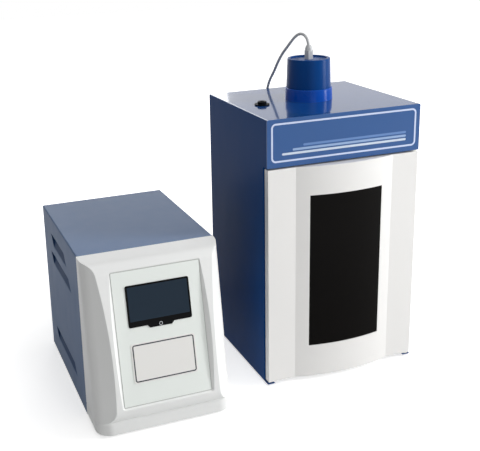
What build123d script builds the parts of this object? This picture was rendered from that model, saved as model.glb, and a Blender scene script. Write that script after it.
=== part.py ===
"""Probe sonicator: a generator with a touch screen, and the chamber that holds its converter and horn.

Millimetres, +Z up, fronts towards -Y. The generator stands on the left and the chamber on the right.
The origin is on the floor, under the middle of the two units and what they carry.
"""
from build123d import *
import math
import os

os.makedirs("parts", exist_ok=True)

# Sheet metal, fits and fasteners
sheet = 1.5
fold_radius = 2.5
running_fit = 0.05
slip_fit = 0.3
foot_height = 4.0
foot_radius = 10.0
foot_inset = 32.0
screw_radius = 2.0
screw_head_radius = 3.8
screw_head_height = 2.2
screw_tail = 2.0

# Where the units stand
unit_gap = 87.5
joint_setback = 35.0

# Chamber
chamber_width = 300.0
chamber_depth = 264.0
chamber_height = 492.0
header_height = 84.0
door_recess = 16.0
return_width = 22.0
rear_return_width = 14.0
foam_thickness = 20.0
mat_thickness = 3.0
base_tab_width = 14.0
back_screw_rows = 4

# Door
door_side_gap = 1.5
door_head_gap = 3.0
door_sill_gap = 3.0
door_proud = 1.0
door_depth = 14.0
door_sheet = 1.2
door_strip = 52.5
door_bulge = 14.0
window_width = 143.0
window_height = 287.0
window_drop = 52.0
window_lap = 8.0
window_thickness = 3.0
reveal_wall = 2.0
seal_width = 6.0
seal_inset = 14.0
magnet_radius = 4.0
magnet_inset = 6.5
magnet_height = 2.6
magnet_count = 3
magnet_spacing = 120.0
pivot_inset = 6.0
pivot_radius = 2.5
pivot_head_radius = 4.5
pivot_head_height = 1.6
pivot_reach = 9.0
bush_wall = 1.5
bush_flange_wall = 2.5
bush_length = 6.0
bush_play = 0.2

# Converter, its collar and its cable gland
converter_setback = 140.0
collar_height = 21.5
collar_radius = 44.0
collar_top_radius = 43.2
collar_round = 1.2
collar_spigot_radius = 40.0
collar_drop = 12.0
collar_nut_height = 8.0
collar_nut_radius = 46.5
collar_nut_notches = 8
notch_radius = 3.0
sleeve_radius = 35.0
sleeve_wall = 3.0
sleeve_rise = 14.0
cap_radius = 41.0
cap_top_radius = 39.1
cap_height = 53.9
cap_wall = 3.0
cap_skirt_height = 6.0
cap_round = 1.5
cap_well_radius = 33.5
cap_well_depth = 2.5
vent_count = 20
vent_width = 2.2
vent_length = 10.0
vent_circle = 24.0
gland_thread_radius = 6.2
gland_across_flats = 15.0
gland_hex_height = 5.0
gland_thread_length = 8.0
gland_neck_radius = 5.4
gland_neck_height = 8.0
gland_nut_height = 11.0
gland_dome_height = 9.0
gland_dome_radius = 4.8
gland_dome_foot = 7.1
gland_dome_step = 0.6
gland_core_radius = 2.0
stack_radius = 25.0
ring_bore = 8.0
ring_thickness = 6.0
ring_count = 4
electrode_thickness = 0.6
electrode_radius = 26.5
stack_low = -4.0
back_mass_length = 22.0
front_mass_length = 50.0
node_flange_thickness = 5.0
node_rise = 4.0
bolt_radius = 6.0
bolt_depth = 22.0
bolt_head_height = 8.0
bolt_head_radius = 10.0
horn_radius = 19.0
horn_root_length = 42.0
horn_taper_length = 34.0
horn_neck_radius = 6.5
horn_neck_length = 20.0
horn_stud_radius = 5.0
horn_stud_length = 14.0
horn_round = 4.0
tip_radius = 3.0
tip_length = 34.0
tip_stud_length = 8.0
tip_shoulder_radius = 5.5
tip_shoulder_length = 6.0

# Grommet for a temperature probe
grommet_left = 47.0
grommet_setback = 122.0
grommet_radius = 13.6
grommet_flange = 2.2
grommet_boss_radius = 8.2
grommet_height = 6.8
grommet_neck_radius = 9.5
grommet_foot_radius = 11.5
grommet_foot_height = 3.0
grommet_bore = 4.0
grommet_relief = 5.5
grommet_lip = 0.5

# Stand inside the chamber
stand_width = 150.0
stand_depth = 140.0
stand_shift = 10.0
stand_corner = 10.0
stand_thickness = 5.0
post_radius = 6.0
post_height = 240.0
post_setback = 62.0
clamp_width = 30.0
clamp_height = 26.0
clamp_low = 60.0
clamp_round = 4.0
arm_width = 16.0
arm_thickness = 8.0
platform_radius = 52.0
platform_thickness = 4.0
platform_rim = 3.0
platform_rim_wall = 2.5
knob_radius = 11.0
knob_length = 14.0
knob_lobes = 6
knob_notch_radius = 3.0
knob_screw_radius = 2.5
knob_gap = 3.0

# Generator case
case_width = 240.5
case_depth = 294.0
case_height = 291.5
case_flange = 14.0
louvre_height = 21.0
louvre_slant = 19.0
louvre_blade_depth = 8.0
louvre_slot = 4.0
louvre_setbacks = (91.0, 63.0, 61.0)
louvre_lengths = (112.0, 152.0, 164.0)
louvre_lows = (237.0, 199.0, 38.0)

# Generator front moulding
bezel_reach = 96.4
bezel_wall = 3.0
brow_reach = 41.0
brow_drop = 6.5
brow_radius = 24.0
front_bulge = 7.0
lip_height = 50.0
crease_reach = 80.0
crease_height = 23.0
chin_reach = 85.0
chin_height = 27.0
chin_corner_radius = 27.0
chin_round = 9.0
chin_foot_round = 3.0
side_start = 34.0
side_round = 40.0
side_turn = 45.0
side_lean = 10.4
side_run = 70.0
panel_width = 153.6
panel_height = 225.0
panel_low = 52.0
panel_reach = 93.0
panel_tilt = 12.5
panel_corner = 1.5
pocket_draft = 43.0
pocket_reach = 15.0
overlay_thickness = 1.0
screen_width = 109.3
screen_height = 69.5
screen_low = 130.0
screen_corner = 3.0
screen_thickness = 2.0
screen_tab_width = 38.0
screen_tab_slant = 4.0
screen_tab_height = 4.6
module_inset = 3.5
module_depth = 12.0
blank_width = 110.5
blank_height = 66.5
blank_low = 36.5
blank_corner = 3.5
blank_thickness = 0.8

# Generator rear and inside
fan_size = 80.0
fan_corner = 6.0
fan_depth = 25.0
fan_right = 48.0
fan_height = 200.0
fan_duct_radius = 37.5
fan_motor_radius = 15.0
fan_motor_depth = 5.0
fan_strut_width = 5.0
fan_hub_radius = 16.0
fan_hub_depth = 15.0
fan_axle_radius = 2.0
fan_tip_gap = 1.5
fan_blades = 7
fan_blade_pitch = 38.0
fan_blade_chord = 17.0
fan_end_gap = 0.3
fan_blade_thickness = 1.6
fan_blade_sink = 1.0
fan_fixing_spacing = 71.5
guard_wire = 2.0
guard_thickness = 1.6
guard_rings = (12.0, 20.0, 28.0, 36.0)
guard_stand = 3.0
inlet_left = 70.0
inlet_height = 60.0
inlet_width = 28.0
inlet_tall = 48.0
inlet_flange = 2.5
inlet_flange_lap = 4.0
inlet_depth = 26.0
well_width = 24.0
well_height = 16.5
well_depth = 16.0
well_low = 5.0
inlet_pin_length = 11.0
pin_width = 2.0
well_pin_rise = 2.5
well_pin_spread = 7.0
drawer_width = 22.0
drawer_height = 12.0
drawer_depth = 20.0
drawer_low = 28.0
drawer_lip = 2.0
switch_left = 22.0
switch_height = 60.0
switch_width = 15.0
switch_tall = 27.0
switch_flange = 2.0
switch_flange_lap = 2.0
switch_depth = 18.0
switch_well_depth = 9.0
rocker_width = 11.0
rocker_tall = 21.0
rocker_tilt = 9.0
rocker_thickness = 6.5
rocker_crown = 3.0
rocker_sink = 1.5
rocker_peg = 1.2
switch_well_end = 1.5
rocker_axle_radius = 1.5
output_right = 72.0
output_height = 74.0
output_radius = 9.0
output_flange_radius = 13.0
output_flange = 2.0
output_reach = 10.0
output_depth = 14.0
sensor_right = 34.0
sensor_height = 74.0
sensor_radius = 5.0
sensor_flange_radius = 8.0
sensor_reach = 6.0
sensor_bore = 3.0
board_width = 190.0
board_depth = 150.0
board_thickness = 1.6
board_setback = 95.0
board_shift = 0.0
board_inset = 8.0
standoff_radius = 3.0
standoff_height = 8.0
core_width = 84.0
core_depth = 40.0
core_height = 70.0
winding_depth = 60.0
winding_width = 46.0
winding_height = 46.0
winding_round = 5.0
transformer_left = 52.0
transformer_setback = 62.0
heatsink_width = 60.0
heatsink_depth = 110.0
heatsink_base = 6.0
heatsink_height = 50.0
heatsink_fins = 9
heatsink_shift = 50.0
fin_thickness = 2.2

# Cable from the converter to the generator
cable_radius = 2.75
plug_radius = 11.5
plug_length = 30.0
plug_tail_radius = 6.0
plug_tail_length = 16.0
plug_ribs = 5
cable_play = 0.1
cable_heading = 100.14
cable_arch = (
    (0, 104), (12, 116), (29, 117), (46, 107), (63, 91), (80, 76), (96, 57), (110, 35), (127, 14),
    (136, -12), (141, -42), (143, -75),
)
cable_drop = (
    (-26.5, 19.0, 375), (-30.5, 22, 315), (-36, 26.5, 250), (-39.5, 33.5, 180), (-45, 43, 112),
    (-56, 59, 55), (-76, 83, 14), (-114, 113, 3.4), (-166, 137, 3.0), (-224, 151, 3.2), (-276, 175, 3.0),
)
cable_lead = (
    (-28, 96, -74), (-36, 130, -66), (-18, 150, -40), (-3, 124, -12), (0, 80, 0), (0, 0, 0),
)

# Levels and planes worked out from the sizes above
floor_z = foot_height
chamber_top = floor_z + chamber_height
header_z = chamber_top - header_height
total_width = case_width + unit_gap + chamber_width
total_depth = bezel_reach + case_depth + output_reach
case_x = -total_width / 2 + case_width / 2
chamber_x = total_width / 2 - chamber_width / 2
case_front = -total_depth / 2 + bezel_reach
case_back = case_front + case_depth
case_top = floor_z + case_height
chamber_front = case_front - joint_setback
chamber_back = chamber_front + chamber_depth
frame_y = chamber_front + door_recess
chamber_left = chamber_x - chamber_width / 2
chamber_right = chamber_x + chamber_width / 2
inner_left = chamber_left + sheet
inner_right = chamber_right - sheet
converter_y = chamber_front + converter_setback
hole_places = [(chamber_x, converter_y), (chamber_left + grommet_left, chamber_front + grommet_setback)]


def facing(y):
    """An upright plane across the units at y, drawn as seen from the front."""
    return Plane.XZ.offset(-y)


def level(z):
    """A level plane at height z."""
    return Plane.XY.offset(z)


def block(x0, x1, y0, y1, z0, z1, mode=Mode.ADD):
    """A plate or block between two corners, in the part being built."""
    with Locations(((x0 + x1) / 2, (y0 + y1) / 2, (z0 + z1) / 2)):
        Box(x1 - x0, y1 - y0, z1 - z0, mode=mode)


def bore(plane, radius, depth, mode=Mode.SUBTRACT):
    """A round hole or peg that starts on a plane and goes back through depth."""
    with BuildSketch(plane) as section:
        Circle(radius)
    extrude(section.sketch, amount=-depth, mode=mode)


def pan_screws(places, length):
    """Pan-head screws, each standing on its plane with its shank behind it."""
    for place in places:
        bore(place, screw_head_radius, -screw_head_height, mode=Mode.ADD)
        bore(place, screw_radius, length, mode=Mode.ADD)


def rear_plane(x, y, z):
    """A plane that looks out of the back at a point."""
    return Plane(origin=(x, y, z), x_dir=(-1, 0, 0), z_dir=(0, 1, 0))


# Screw places on the chamber's back, used by the panel, the returns and the screws
back_screw_x = [inner_left + rear_return_width / 2, inner_right - rear_return_width / 2]
back_screw_pitch = (chamber_height - 2 * rear_return_width) / (back_screw_rows - 1)
back_screws = [
    rear_plane(x, chamber_back, floor_z + rear_return_width + row * back_screw_pitch)
    for x in back_screw_x
    for row in range(back_screw_rows)
]

# Chamber casing: top and sides folded from one sheet, cut back in front for the door
with BuildPart() as chamber_shell:
    with BuildSketch(facing(chamber_front + sheet)):
        with Locations((chamber_x, floor_z)):
            Rectangle(chamber_width, chamber_height, align=(Align.CENTER, Align.MIN))
        fillet(vertices().group_by(Axis.Y)[-1], fold_radius)
        with Locations((chamber_x, floor_z)):
            Rectangle(inner_right - inner_left, chamber_height - sheet, align=(Align.CENTER, Align.MIN),
                      mode=Mode.SUBTRACT)
    extrude(amount=-(chamber_depth - sheet))
    block(chamber_left, chamber_right, chamber_front, frame_y, floor_z, header_z, mode=Mode.SUBTRACT)
    for left in (inner_left, inner_right - return_width):
        block(left, left + return_width, frame_y, frame_y + sheet, floor_z + sheet, header_z)
    for left in (inner_left, inner_right - rear_return_width):
        block(left, left + rear_return_width, chamber_back - 2 * sheet, chamber_back - sheet,
              floor_z + sheet, chamber_top - sheet)
    for (x, y), radius in zip(hole_places, (collar_spigot_radius, grommet_neck_radius)):
        bore(Plane((x, y, chamber_top)), radius, sheet)
    for place in back_screws:
        bore(place, screw_radius, 2 * sheet)

# Header: the front panel above the door, folded back over it and down behind its top edge
with BuildPart() as header_panel:
    block(chamber_left, chamber_right, chamber_front, chamber_front + sheet, header_z, chamber_top)
    fillet(header_panel.edges().filter_by(Axis.Y).group_by(Axis.Z)[-1], fold_radius)
    block(inner_left, inner_right, chamber_front + sheet, frame_y + sheet, header_z, header_z + sheet)
    block(inner_left + return_width, inner_right - return_width, frame_y, frame_y + sheet,
          header_z - return_width, header_z)
    for left in (inner_left, inner_right - sheet):
        block(left, left + sheet, chamber_front + sheet, frame_y + sheet, header_z + sheet,
              chamber_top - sheet)

# Base pan, with a tab in front at each lower corner
with BuildPart() as chamber_base:
    block(inner_left, inner_right, frame_y, chamber_back - sheet, floor_z, floor_z + sheet)
    block(inner_left + return_width, inner_right - return_width, frame_y, frame_y + sheet,
          floor_z + sheet, floor_z + sheet + return_width)
    for left in (chamber_left, chamber_right - base_tab_width):
        block(left, left + base_tab_width, chamber_front, frame_y, floor_z, floor_z + sheet)

# Back panel inside the casing's rear edges
with BuildPart() as chamber_back_panel:
    block(inner_left, inner_right, chamber_back - sheet, chamber_back, floor_z, chamber_top - sheet)
    for place in back_screws:
        bore(place, screw_radius, sheet)

with BuildPart() as chamber_screws:
    pan_screws(back_screws, 2 * sheet + screw_tail)


def feet(x, width, front, back):
    """Four stick-on rubber feet under a unit, each a little narrower at the floor."""
    for side in (-1, 1):
        for y in (front + foot_inset, back - foot_inset):
            with BuildSketch(Plane((x + side * (width / 2 - foot_inset), y, floor_z))) as section:
                Circle(foot_radius)
            extrude(section.sketch, amount=-foot_height, taper=8)


with BuildPart() as chamber_feet:
    feet(chamber_x, chamber_width, chamber_front, chamber_back)

# Sound-absorbing lining
foam_top_z = chamber_top - sheet - foam_thickness
foam_floor_z = floor_z + sheet
lining_front = frame_y + sheet
lining_back = chamber_back - 2 * sheet - screw_tail - slip_fit
with BuildPart() as foam_sides:
    for left in (inner_left, inner_right - foam_thickness):
        block(left, left + foam_thickness, lining_front, lining_back, foam_floor_z, foam_top_z)

with BuildPart() as foam_back:
    block(inner_left + foam_thickness, inner_right - foam_thickness, chamber_back - sheet - foam_thickness,
          chamber_back - sheet, foam_floor_z, foam_top_z)

with BuildPart() as foam_top:
    block(inner_left, inner_right, lining_front, lining_back, foam_top_z, chamber_top - sheet)
    for (x, y), radius in zip(hole_places, (collar_nut_radius, grommet_foot_radius)):
        bore(Plane((x, y, chamber_top - sheet)), radius + slip_fit, foam_thickness)

with BuildPart() as floor_mat:
    block(inner_left + foam_thickness, inner_right - foam_thickness, lining_front,
          chamber_back - sheet - foam_thickness, foam_floor_z, foam_floor_z + mat_thickness)

# Grommet in the top, with a bore for a temperature probe
grommet_x, grommet_y = hole_places[1]
grommet_face = Plane(origin=(grommet_x, grommet_y, chamber_top), x_dir=(1, 0, 0), z_dir=(0, -1, 0))
with BuildPart() as probe_grommet:
    with BuildSketch(grommet_face):
        with BuildLine():
            Polyline(
                (grommet_relief, -sheet - grommet_foot_height),
                (grommet_neck_radius, -sheet - grommet_foot_height),
                (grommet_foot_radius, -sheet),
                (grommet_neck_radius, -sheet),
                (grommet_neck_radius, 0),
                (grommet_radius, 0),
                (grommet_radius, grommet_flange),
                (grommet_boss_radius, grommet_flange),
                (grommet_boss_radius, grommet_height),
                (grommet_bore, grommet_height),
                (grommet_bore, grommet_lip),
                (grommet_relief, grommet_lip),
                close=True,
            )
        make_face()
    revolve(axis=Axis((grommet_x, grommet_y, 0), (0, 0, 1)))
    fillet(probe_grommet.edges().filter_by(GeomType.CIRCLE).group_by(Axis.Z)[-1], 1)

# Door: a folded tray with flat strips at its sides and a bulge between two creases
door_left = chamber_left + door_side_gap
door_right = chamber_right - door_side_gap
door_front = chamber_front - door_proud
door_back = door_front + door_depth
door_low = floor_z + sheet + door_sill_gap
door_top = header_z - door_head_gap
door_height = door_top - door_low
window_z = door_top - window_drop - window_height / 2
pivot_x = door_right - pivot_inset
pivot_y = door_back - pivot_inset
bush_radius = pivot_radius + running_fit + bush_wall


def door_plan(inset, back, mode=Mode.ADD):
    """The door's plan, set in from its outer face and drawn back to a level line at back."""
    face = door_front + inset
    creases = (door_left + door_strip, door_right - door_strip)
    with BuildLine() as outline:
        Polyline((creases[0], face), (door_left + inset, face), (door_left + inset, back),
                 (door_right - inset, back), (door_right - inset, face), (creases[1], face))
        ThreePointArc((creases[1], face), (chamber_x, face - door_bulge), (creases[0], face))
    make_face(outline.edges(), mode=mode)


def window_frame(width, height, front, back, mode=Mode.ADD):
    """An upright rectangle centred on the window, from one depth to another."""
    with BuildSketch(facing(front)) as section:
        with Locations((chamber_x, window_z)):
            Rectangle(width, height)
    extrude(section.sketch, amount=front - back, mode=mode)


with BuildPart() as door_skin:
    with BuildSketch(level(door_low)):
        door_plan(0, door_back)
    extrude(amount=door_height)
    with BuildSketch(level(door_low + door_sheet)):
        door_plan(door_sheet, door_back)
    extrude(amount=door_height - 2 * door_sheet, mode=Mode.SUBTRACT)
    window_frame(window_width, window_height, door_front - door_bulge, door_back, mode=Mode.SUBTRACT)
    bore(Plane((pivot_x, pivot_y, door_top)), bush_radius, door_height)

with BuildPart() as door_window:
    glass_face = door_sheet + window_thickness
    with BuildSketch(level(window_z - window_height / 2 - window_lap)):
        door_plan(door_sheet, door_back)
        door_plan(glass_face, door_back, mode=Mode.SUBTRACT)
        with Locations((chamber_x, door_front)):
            Rectangle(window_width + 2 * window_lap, 2 * door_bulge + 2 * door_depth, mode=Mode.INTERSECT)
    extrude(amount=window_height + 2 * window_lap)

with BuildPart() as door_liner:
    block(door_left + door_sheet, door_right - door_sheet, door_back - door_sheet, door_back,
          door_low + door_sheet, door_top - door_sheet)
    window_frame(window_width, window_height, door_back - door_sheet, door_back, mode=Mode.SUBTRACT)

with BuildPart() as window_reveal:
    window_frame(window_width + 2 * reveal_wall, window_height + 2 * reveal_wall, door_front - door_bulge,
                 door_back - door_sheet)
    with BuildSketch(level(door_low)):
        door_plan(glass_face, door_back - door_sheet)
    extrude(amount=door_height, mode=Mode.INTERSECT)
    window_frame(window_width, window_height, door_front - door_bulge, door_back, mode=Mode.SUBTRACT)

with BuildPart() as door_seal:
    seal_height = door_recess - door_depth + door_proud - slip_fit
    seal_z = (floor_z + sheet + seal_inset, header_z - seal_inset)
    seal_span = (inner_right - inner_left - 2 * seal_inset, seal_z[1] - seal_z[0])
    with BuildSketch(facing(door_back)):
        with Locations((chamber_x, sum(seal_z) / 2)):
            RectangleRounded(seal_span[0] + seal_width, seal_span[1] + seal_width, seal_width)
            Rectangle(seal_span[0] - seal_width, seal_span[1] - seal_width, mode=Mode.SUBTRACT)
    extrude(amount=-seal_height)

with BuildPart() as door_magnets:
    for place in range(magnet_count):
        rise = (place - (magnet_count - 1) / 2) * magnet_spacing
        height = (door_low + door_top) / 2 + rise
        bore(facing(door_back) * Location((door_left + magnet_inset, height)), magnet_radius, magnet_height,
             mode=Mode.ADD)

# Hinge: a pin up from the base tab and one down from the header, each in a flanged bush in the door
with BuildPart() as hinge_pins:
    bore(Plane((pivot_x, pivot_y, floor_z)), pivot_head_radius, pivot_head_height, mode=Mode.ADD)
    bore(Plane((pivot_x, pivot_y, floor_z)), pivot_radius, -(sheet + pivot_reach), mode=Mode.ADD)
    bore(Plane((pivot_x, pivot_y, header_z + sheet)), pivot_head_radius, -pivot_head_height, mode=Mode.ADD)
    bore(Plane((pivot_x, pivot_y, header_z + sheet)), pivot_radius, sheet + pivot_reach, mode=Mode.ADD)

with BuildPart() as door_bushes:
    flange_radius = bush_radius + bush_flange_wall
    for face, out, gap in ((door_low, -1, door_sill_gap), (door_top, 1, door_head_gap)):
        here = Plane((pivot_x, pivot_y, face))
        bore(here, flange_radius, -out * (gap - bush_play), mode=Mode.ADD)
        bore(here, bush_radius, out * bush_length, mode=Mode.ADD)
    bore(Plane((pivot_x, pivot_y, header_z)), pivot_radius + running_fit, chamber_height)

with BuildPart(mode=Mode.PRIVATE) as pin_holes:
    bore(Plane((pivot_x, pivot_y, chamber_top)), pivot_radius, chamber_height, mode=Mode.ADD)

with header_panel:
    add(pin_holes.part, mode=Mode.SUBTRACT)

with chamber_base:
    add(pin_holes.part, mode=Mode.SUBTRACT)

# Converter: turned pieces on one upright axis, their heights counted from the chamber's top
converter_axis = Axis((chamber_x, converter_y, 0), (0, 0, 1))
converter_face = Plane(origin=(chamber_x, converter_y, chamber_top), x_dir=(1, 0, 0), z_dir=(0, -1, 0))
stack_height = ring_count * ring_thickness + (ring_count - 1) * electrode_thickness
stack_top = stack_low + stack_height
front_low = stack_low - front_mass_length
sleeve_bore = sleeve_radius - sleeve_wall
cap_top = collar_height + cap_height
well_floor = cap_top - cap_well_depth
cap_ceiling = well_floor - cap_wall


def turned(*points):
    """A turned solid on the converter's axis from its half outline, as (radius, height) points."""
    with BuildSketch(converter_face) as section:
        with BuildLine():
            Polyline(*points, close=True)
        make_face()
    revolve(section.sketch, axis=converter_axis)


def on_axis(height):
    """A level plane on the converter's axis, at a height above the chamber's top."""
    return Plane((chamber_x, converter_y, chamber_top + height))


with BuildPart() as converter_collar:
    spigot_low = -sheet - collar_drop
    bush = sleeve_radius + running_fit
    turned((bush, spigot_low), (collar_spigot_radius, spigot_low), (collar_spigot_radius, 0),
           (collar_radius, 0), (collar_top_radius, collar_height), (bush, collar_height))
    rims = converter_collar.edges().filter_by(GeomType.CIRCLE).group_by(Axis.Z)[-1]
    fillet(rims.sort_by(SortBy.RADIUS)[-1], collar_round)

with BuildPart() as collar_nut:
    bore(on_axis(-sheet), collar_nut_radius, collar_nut_height, mode=Mode.ADD)
    bore(on_axis(-sheet), collar_spigot_radius, collar_nut_height)
    with BuildSketch(on_axis(-sheet)):
        with PolarLocations(collar_nut_radius, collar_nut_notches):
            Circle(notch_radius)
    extrude(amount=-collar_nut_height, mode=Mode.SUBTRACT)

with BuildPart() as converter_sleeve:
    sleeve_top = collar_height + sleeve_rise
    turned((sleeve_bore, front_low), (sleeve_radius, front_low), (sleeve_radius, sleeve_top),
           (sleeve_bore, sleeve_top))

with BuildPart() as converter_cap:
    skirt_top = collar_height + cap_skirt_height
    turned((sleeve_radius, collar_height), (cap_radius, collar_height),
           (cap_radius, collar_height + cap_wall), (cap_top_radius, cap_top), (cap_well_radius, cap_top),
           (cap_well_radius, well_floor), (gland_thread_radius, well_floor),
           (gland_thread_radius, cap_ceiling), (cap_top_radius - cap_wall, cap_ceiling),
           (cap_radius - cap_wall, skirt_top), (sleeve_radius, skirt_top))
    fillet(converter_cap.edges().filter_by(GeomType.CIRCLE).group_by(Axis.Z)[-1], cap_round)
    with BuildSketch(on_axis(well_floor)):
        with PolarLocations(vent_circle, vent_count):
            SlotOverall(vent_length, vent_width)
    extrude(amount=-cap_wall, mode=Mode.SUBTRACT)

with BuildPart() as gland_body:
    nut_low = well_floor + gland_hex_height
    neck_top = nut_low + gland_neck_height
    with BuildSketch(on_axis(well_floor)):
        RegularPolygon(gland_across_flats / 2, 6, major_radius=False)
    extrude(amount=gland_hex_height)
    bore(on_axis(well_floor), gland_thread_radius, gland_thread_length, mode=Mode.ADD)
    bore(on_axis(neck_top), gland_neck_radius, gland_neck_height, mode=Mode.ADD)
    bore(on_axis(neck_top), gland_core_radius, neck_top)

with BuildPart() as gland_nut:
    nut_top = nut_low + gland_nut_height
    with BuildSketch(on_axis(nut_low)):
        RegularPolygon(gland_across_flats / 2, 6, major_radius=False)
    extrude(amount=gland_nut_height)
    turned((0, nut_low), (gland_dome_foot, nut_low), (gland_dome_foot, nut_top),
           (gland_dome_foot - gland_dome_step, nut_top + gland_dome_height / 2),
           (gland_dome_radius, nut_top + gland_dome_height), (0, nut_top + gland_dome_height))
    bore(on_axis(neck_top), gland_neck_radius, gland_neck_height)
    bore(on_axis(nut_top + gland_dome_height), cable_radius + cable_play,
         gland_dome_height + gland_nut_height)

# The stack that shakes the horn: rings and electrodes pressed between two masses by a bolt
ring_step = ring_thickness + electrode_thickness
with BuildPart() as piezo_rings:
    for ring in range(ring_count):
        bore(on_axis(stack_low + ring * ring_step), stack_radius, -ring_thickness, mode=Mode.ADD)
    bore(on_axis(stack_top), ring_bore, stack_height)

with BuildPart() as electrodes:
    for ring in range(1, ring_count):
        bore(on_axis(stack_low + ring * ring_step), electrode_radius, electrode_thickness, mode=Mode.ADD)
    bore(on_axis(stack_top), ring_bore, stack_height)

with BuildPart() as back_mass:
    bore(on_axis(stack_top), stack_radius, -back_mass_length, mode=Mode.ADD)
    chamfer(back_mass.edges().group_by(Axis.Z)[-1], 2)
    bore(on_axis(stack_top + back_mass_length), bolt_radius + slip_fit, back_mass_length)

with BuildPart() as prestress_bolt:
    bolt_seat = stack_top + back_mass_length
    with BuildSketch(on_axis(bolt_seat)):
        RegularPolygon(bolt_head_radius, 6)
    extrude(amount=bolt_head_height)
    bore(on_axis(bolt_seat), bolt_radius, bolt_seat - stack_low + bolt_depth, mode=Mode.ADD)

with BuildPart() as front_mass:
    flange_low = front_low + node_rise
    turned((0, front_low), (horn_radius, front_low), (horn_radius, flange_low), (sleeve_bore, flange_low),
           (sleeve_bore, flange_low + node_flange_thickness),
           (stack_radius, flange_low + node_flange_thickness), (stack_radius, stack_low), (0, stack_low))
    bore(on_axis(stack_low), bolt_radius, bolt_depth)
    bore(on_axis(front_low), horn_stud_radius, -horn_stud_length)

taper_low = front_low - horn_root_length
neck_high = taper_low - horn_taper_length
horn_low = neck_high - horn_neck_length
with BuildPart() as horn:
    turned((0, front_low + horn_stud_length), (horn_stud_radius, front_low + horn_stud_length),
           (horn_stud_radius, front_low), (horn_radius, front_low), (horn_radius, taper_low),
           (horn_neck_radius, neck_high), (horn_neck_radius, horn_low), (0, horn_low))
    bore(on_axis(horn_low), tip_radius, -tip_stud_length)
    fillet(horn.edges().filter_by(GeomType.CIRCLE).filter_by_position(
        Axis.Z, chamber_top + taper_low - 1, chamber_top + taper_low + 1), horn_round)

shoulder_low = horn_low - tip_shoulder_length
tip_low = shoulder_low - tip_length
with BuildPart() as probe_tip:
    turned((0, horn_low + tip_stud_length), (tip_radius, horn_low + tip_stud_length), (tip_radius, horn_low),
           (tip_shoulder_radius, horn_low), (tip_shoulder_radius, shoulder_low), (tip_radius, shoulder_low),
           (tip_radius, tip_low), (0, tip_low))

# Stand and height-adjustable platform under the tip
stand_low = foam_floor_z + mat_thickness
stand_top = stand_low + stand_thickness
post_y = converter_y + post_setback
clamp_z = stand_top + clamp_low
clamp_top = clamp_z + clamp_height
knob_z = clamp_z + clamp_height / 2
with BuildPart() as stand_base:
    with BuildSketch(level(stand_low)):
        with Locations((chamber_x, converter_y + stand_shift)):
            RectangleRounded(stand_width, stand_depth, stand_corner)
    extrude(amount=stand_thickness)
    bore(Plane((chamber_x, post_y, stand_top)), post_radius, stand_thickness)
    chamfer(stand_base.edges().group_by(Axis.Z)[-1], 0.8)

with BuildPart() as stand_post:
    bore(Plane((chamber_x, post_y, stand_low)), post_radius, -(stand_thickness + post_height), mode=Mode.ADD)
    chamfer(stand_post.edges().group_by(Axis.Z)[-1], 1)

with BuildPart() as platform_arm:
    with BuildSketch(level(clamp_z)):
        with Locations((chamber_x, post_y)):
            RectangleRounded(clamp_width, clamp_width, clamp_round)
    extrude(amount=clamp_height)
    with BuildSketch(level(clamp_top - arm_thickness)):
        with Locations((chamber_x, converter_y)):
            Circle(arm_width)
        with Locations((chamber_x, (converter_y + post_y) / 2)):
            Rectangle(arm_width, post_setback)
    extrude(amount=arm_thickness)
    bore(Plane((chamber_x, post_y, clamp_top)), post_radius + running_fit, clamp_height)
    bore(Plane(origin=(chamber_x + clamp_width, post_y, knob_z), z_dir=(1, 0, 0)),
         knob_screw_radius + running_fit, clamp_width)

with BuildPart() as sample_platform:
    floor_low = clamp_top - chamber_top
    floor_high = floor_low + platform_thickness
    rim_high = floor_high + platform_rim
    turned((0, floor_low), (platform_radius, floor_low), (platform_radius, rim_high),
           (platform_radius - platform_rim_wall, rim_high),
           (platform_radius - platform_rim_wall, floor_high), (0, floor_high))

with BuildPart() as clamp_knob:
    knob_x = chamber_x + clamp_width / 2 + knob_gap
    knob_face = Plane(origin=(knob_x, post_y, knob_z), z_dir=(1, 0, 0))
    bore(knob_face, knob_radius, -knob_length, mode=Mode.ADD)
    chamfer(clamp_knob.edges().group_by(Axis.X)[-1], 1.5)
    with BuildSketch(knob_face):
        with PolarLocations(knob_radius + 1, knob_lobes):
            Circle(knob_notch_radius)
    extrude(amount=knob_length, mode=Mode.SUBTRACT)
    bore(knob_face, knob_screw_radius, knob_gap + clamp_width / 2 - post_radius - slip_fit, mode=Mode.ADD)

# Generator case: top and sides folded from one sheet, with louvres pressed in at both sides
case_left = case_x - case_width / 2
case_right = case_x + case_width / 2
case_inner = (case_left + sheet, case_right - sheet)


def louvre(side, index, depth, profile, grow=0.0):
    """The space behind one louvre's slanting outline, cut to a profile of (inward, height) points."""
    front = case_front + louvre_setbacks[index] - grow
    back = front + louvre_lengths[index] + 2 * grow
    low = floor_z + louvre_lows[index]
    face = case_x + side * case_width / 2
    with BuildPart(mode=Mode.PRIVATE) as form:
        with BuildSketch(Plane.YZ.offset(face)):
            Polygon((front, low), (back, low), (back + louvre_slant, low + louvre_height),
                    (front + louvre_slant, low + louvre_height), align=None)
        extrude(amount=-side * depth)
        with BuildSketch(facing(front)):
            Polygon(*[(face - side * inward, low + rise) for inward, rise in profile], align=None)
        extrude(amount=-(back + louvre_slant - front), mode=Mode.INTERSECT)
    return form.part


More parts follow.
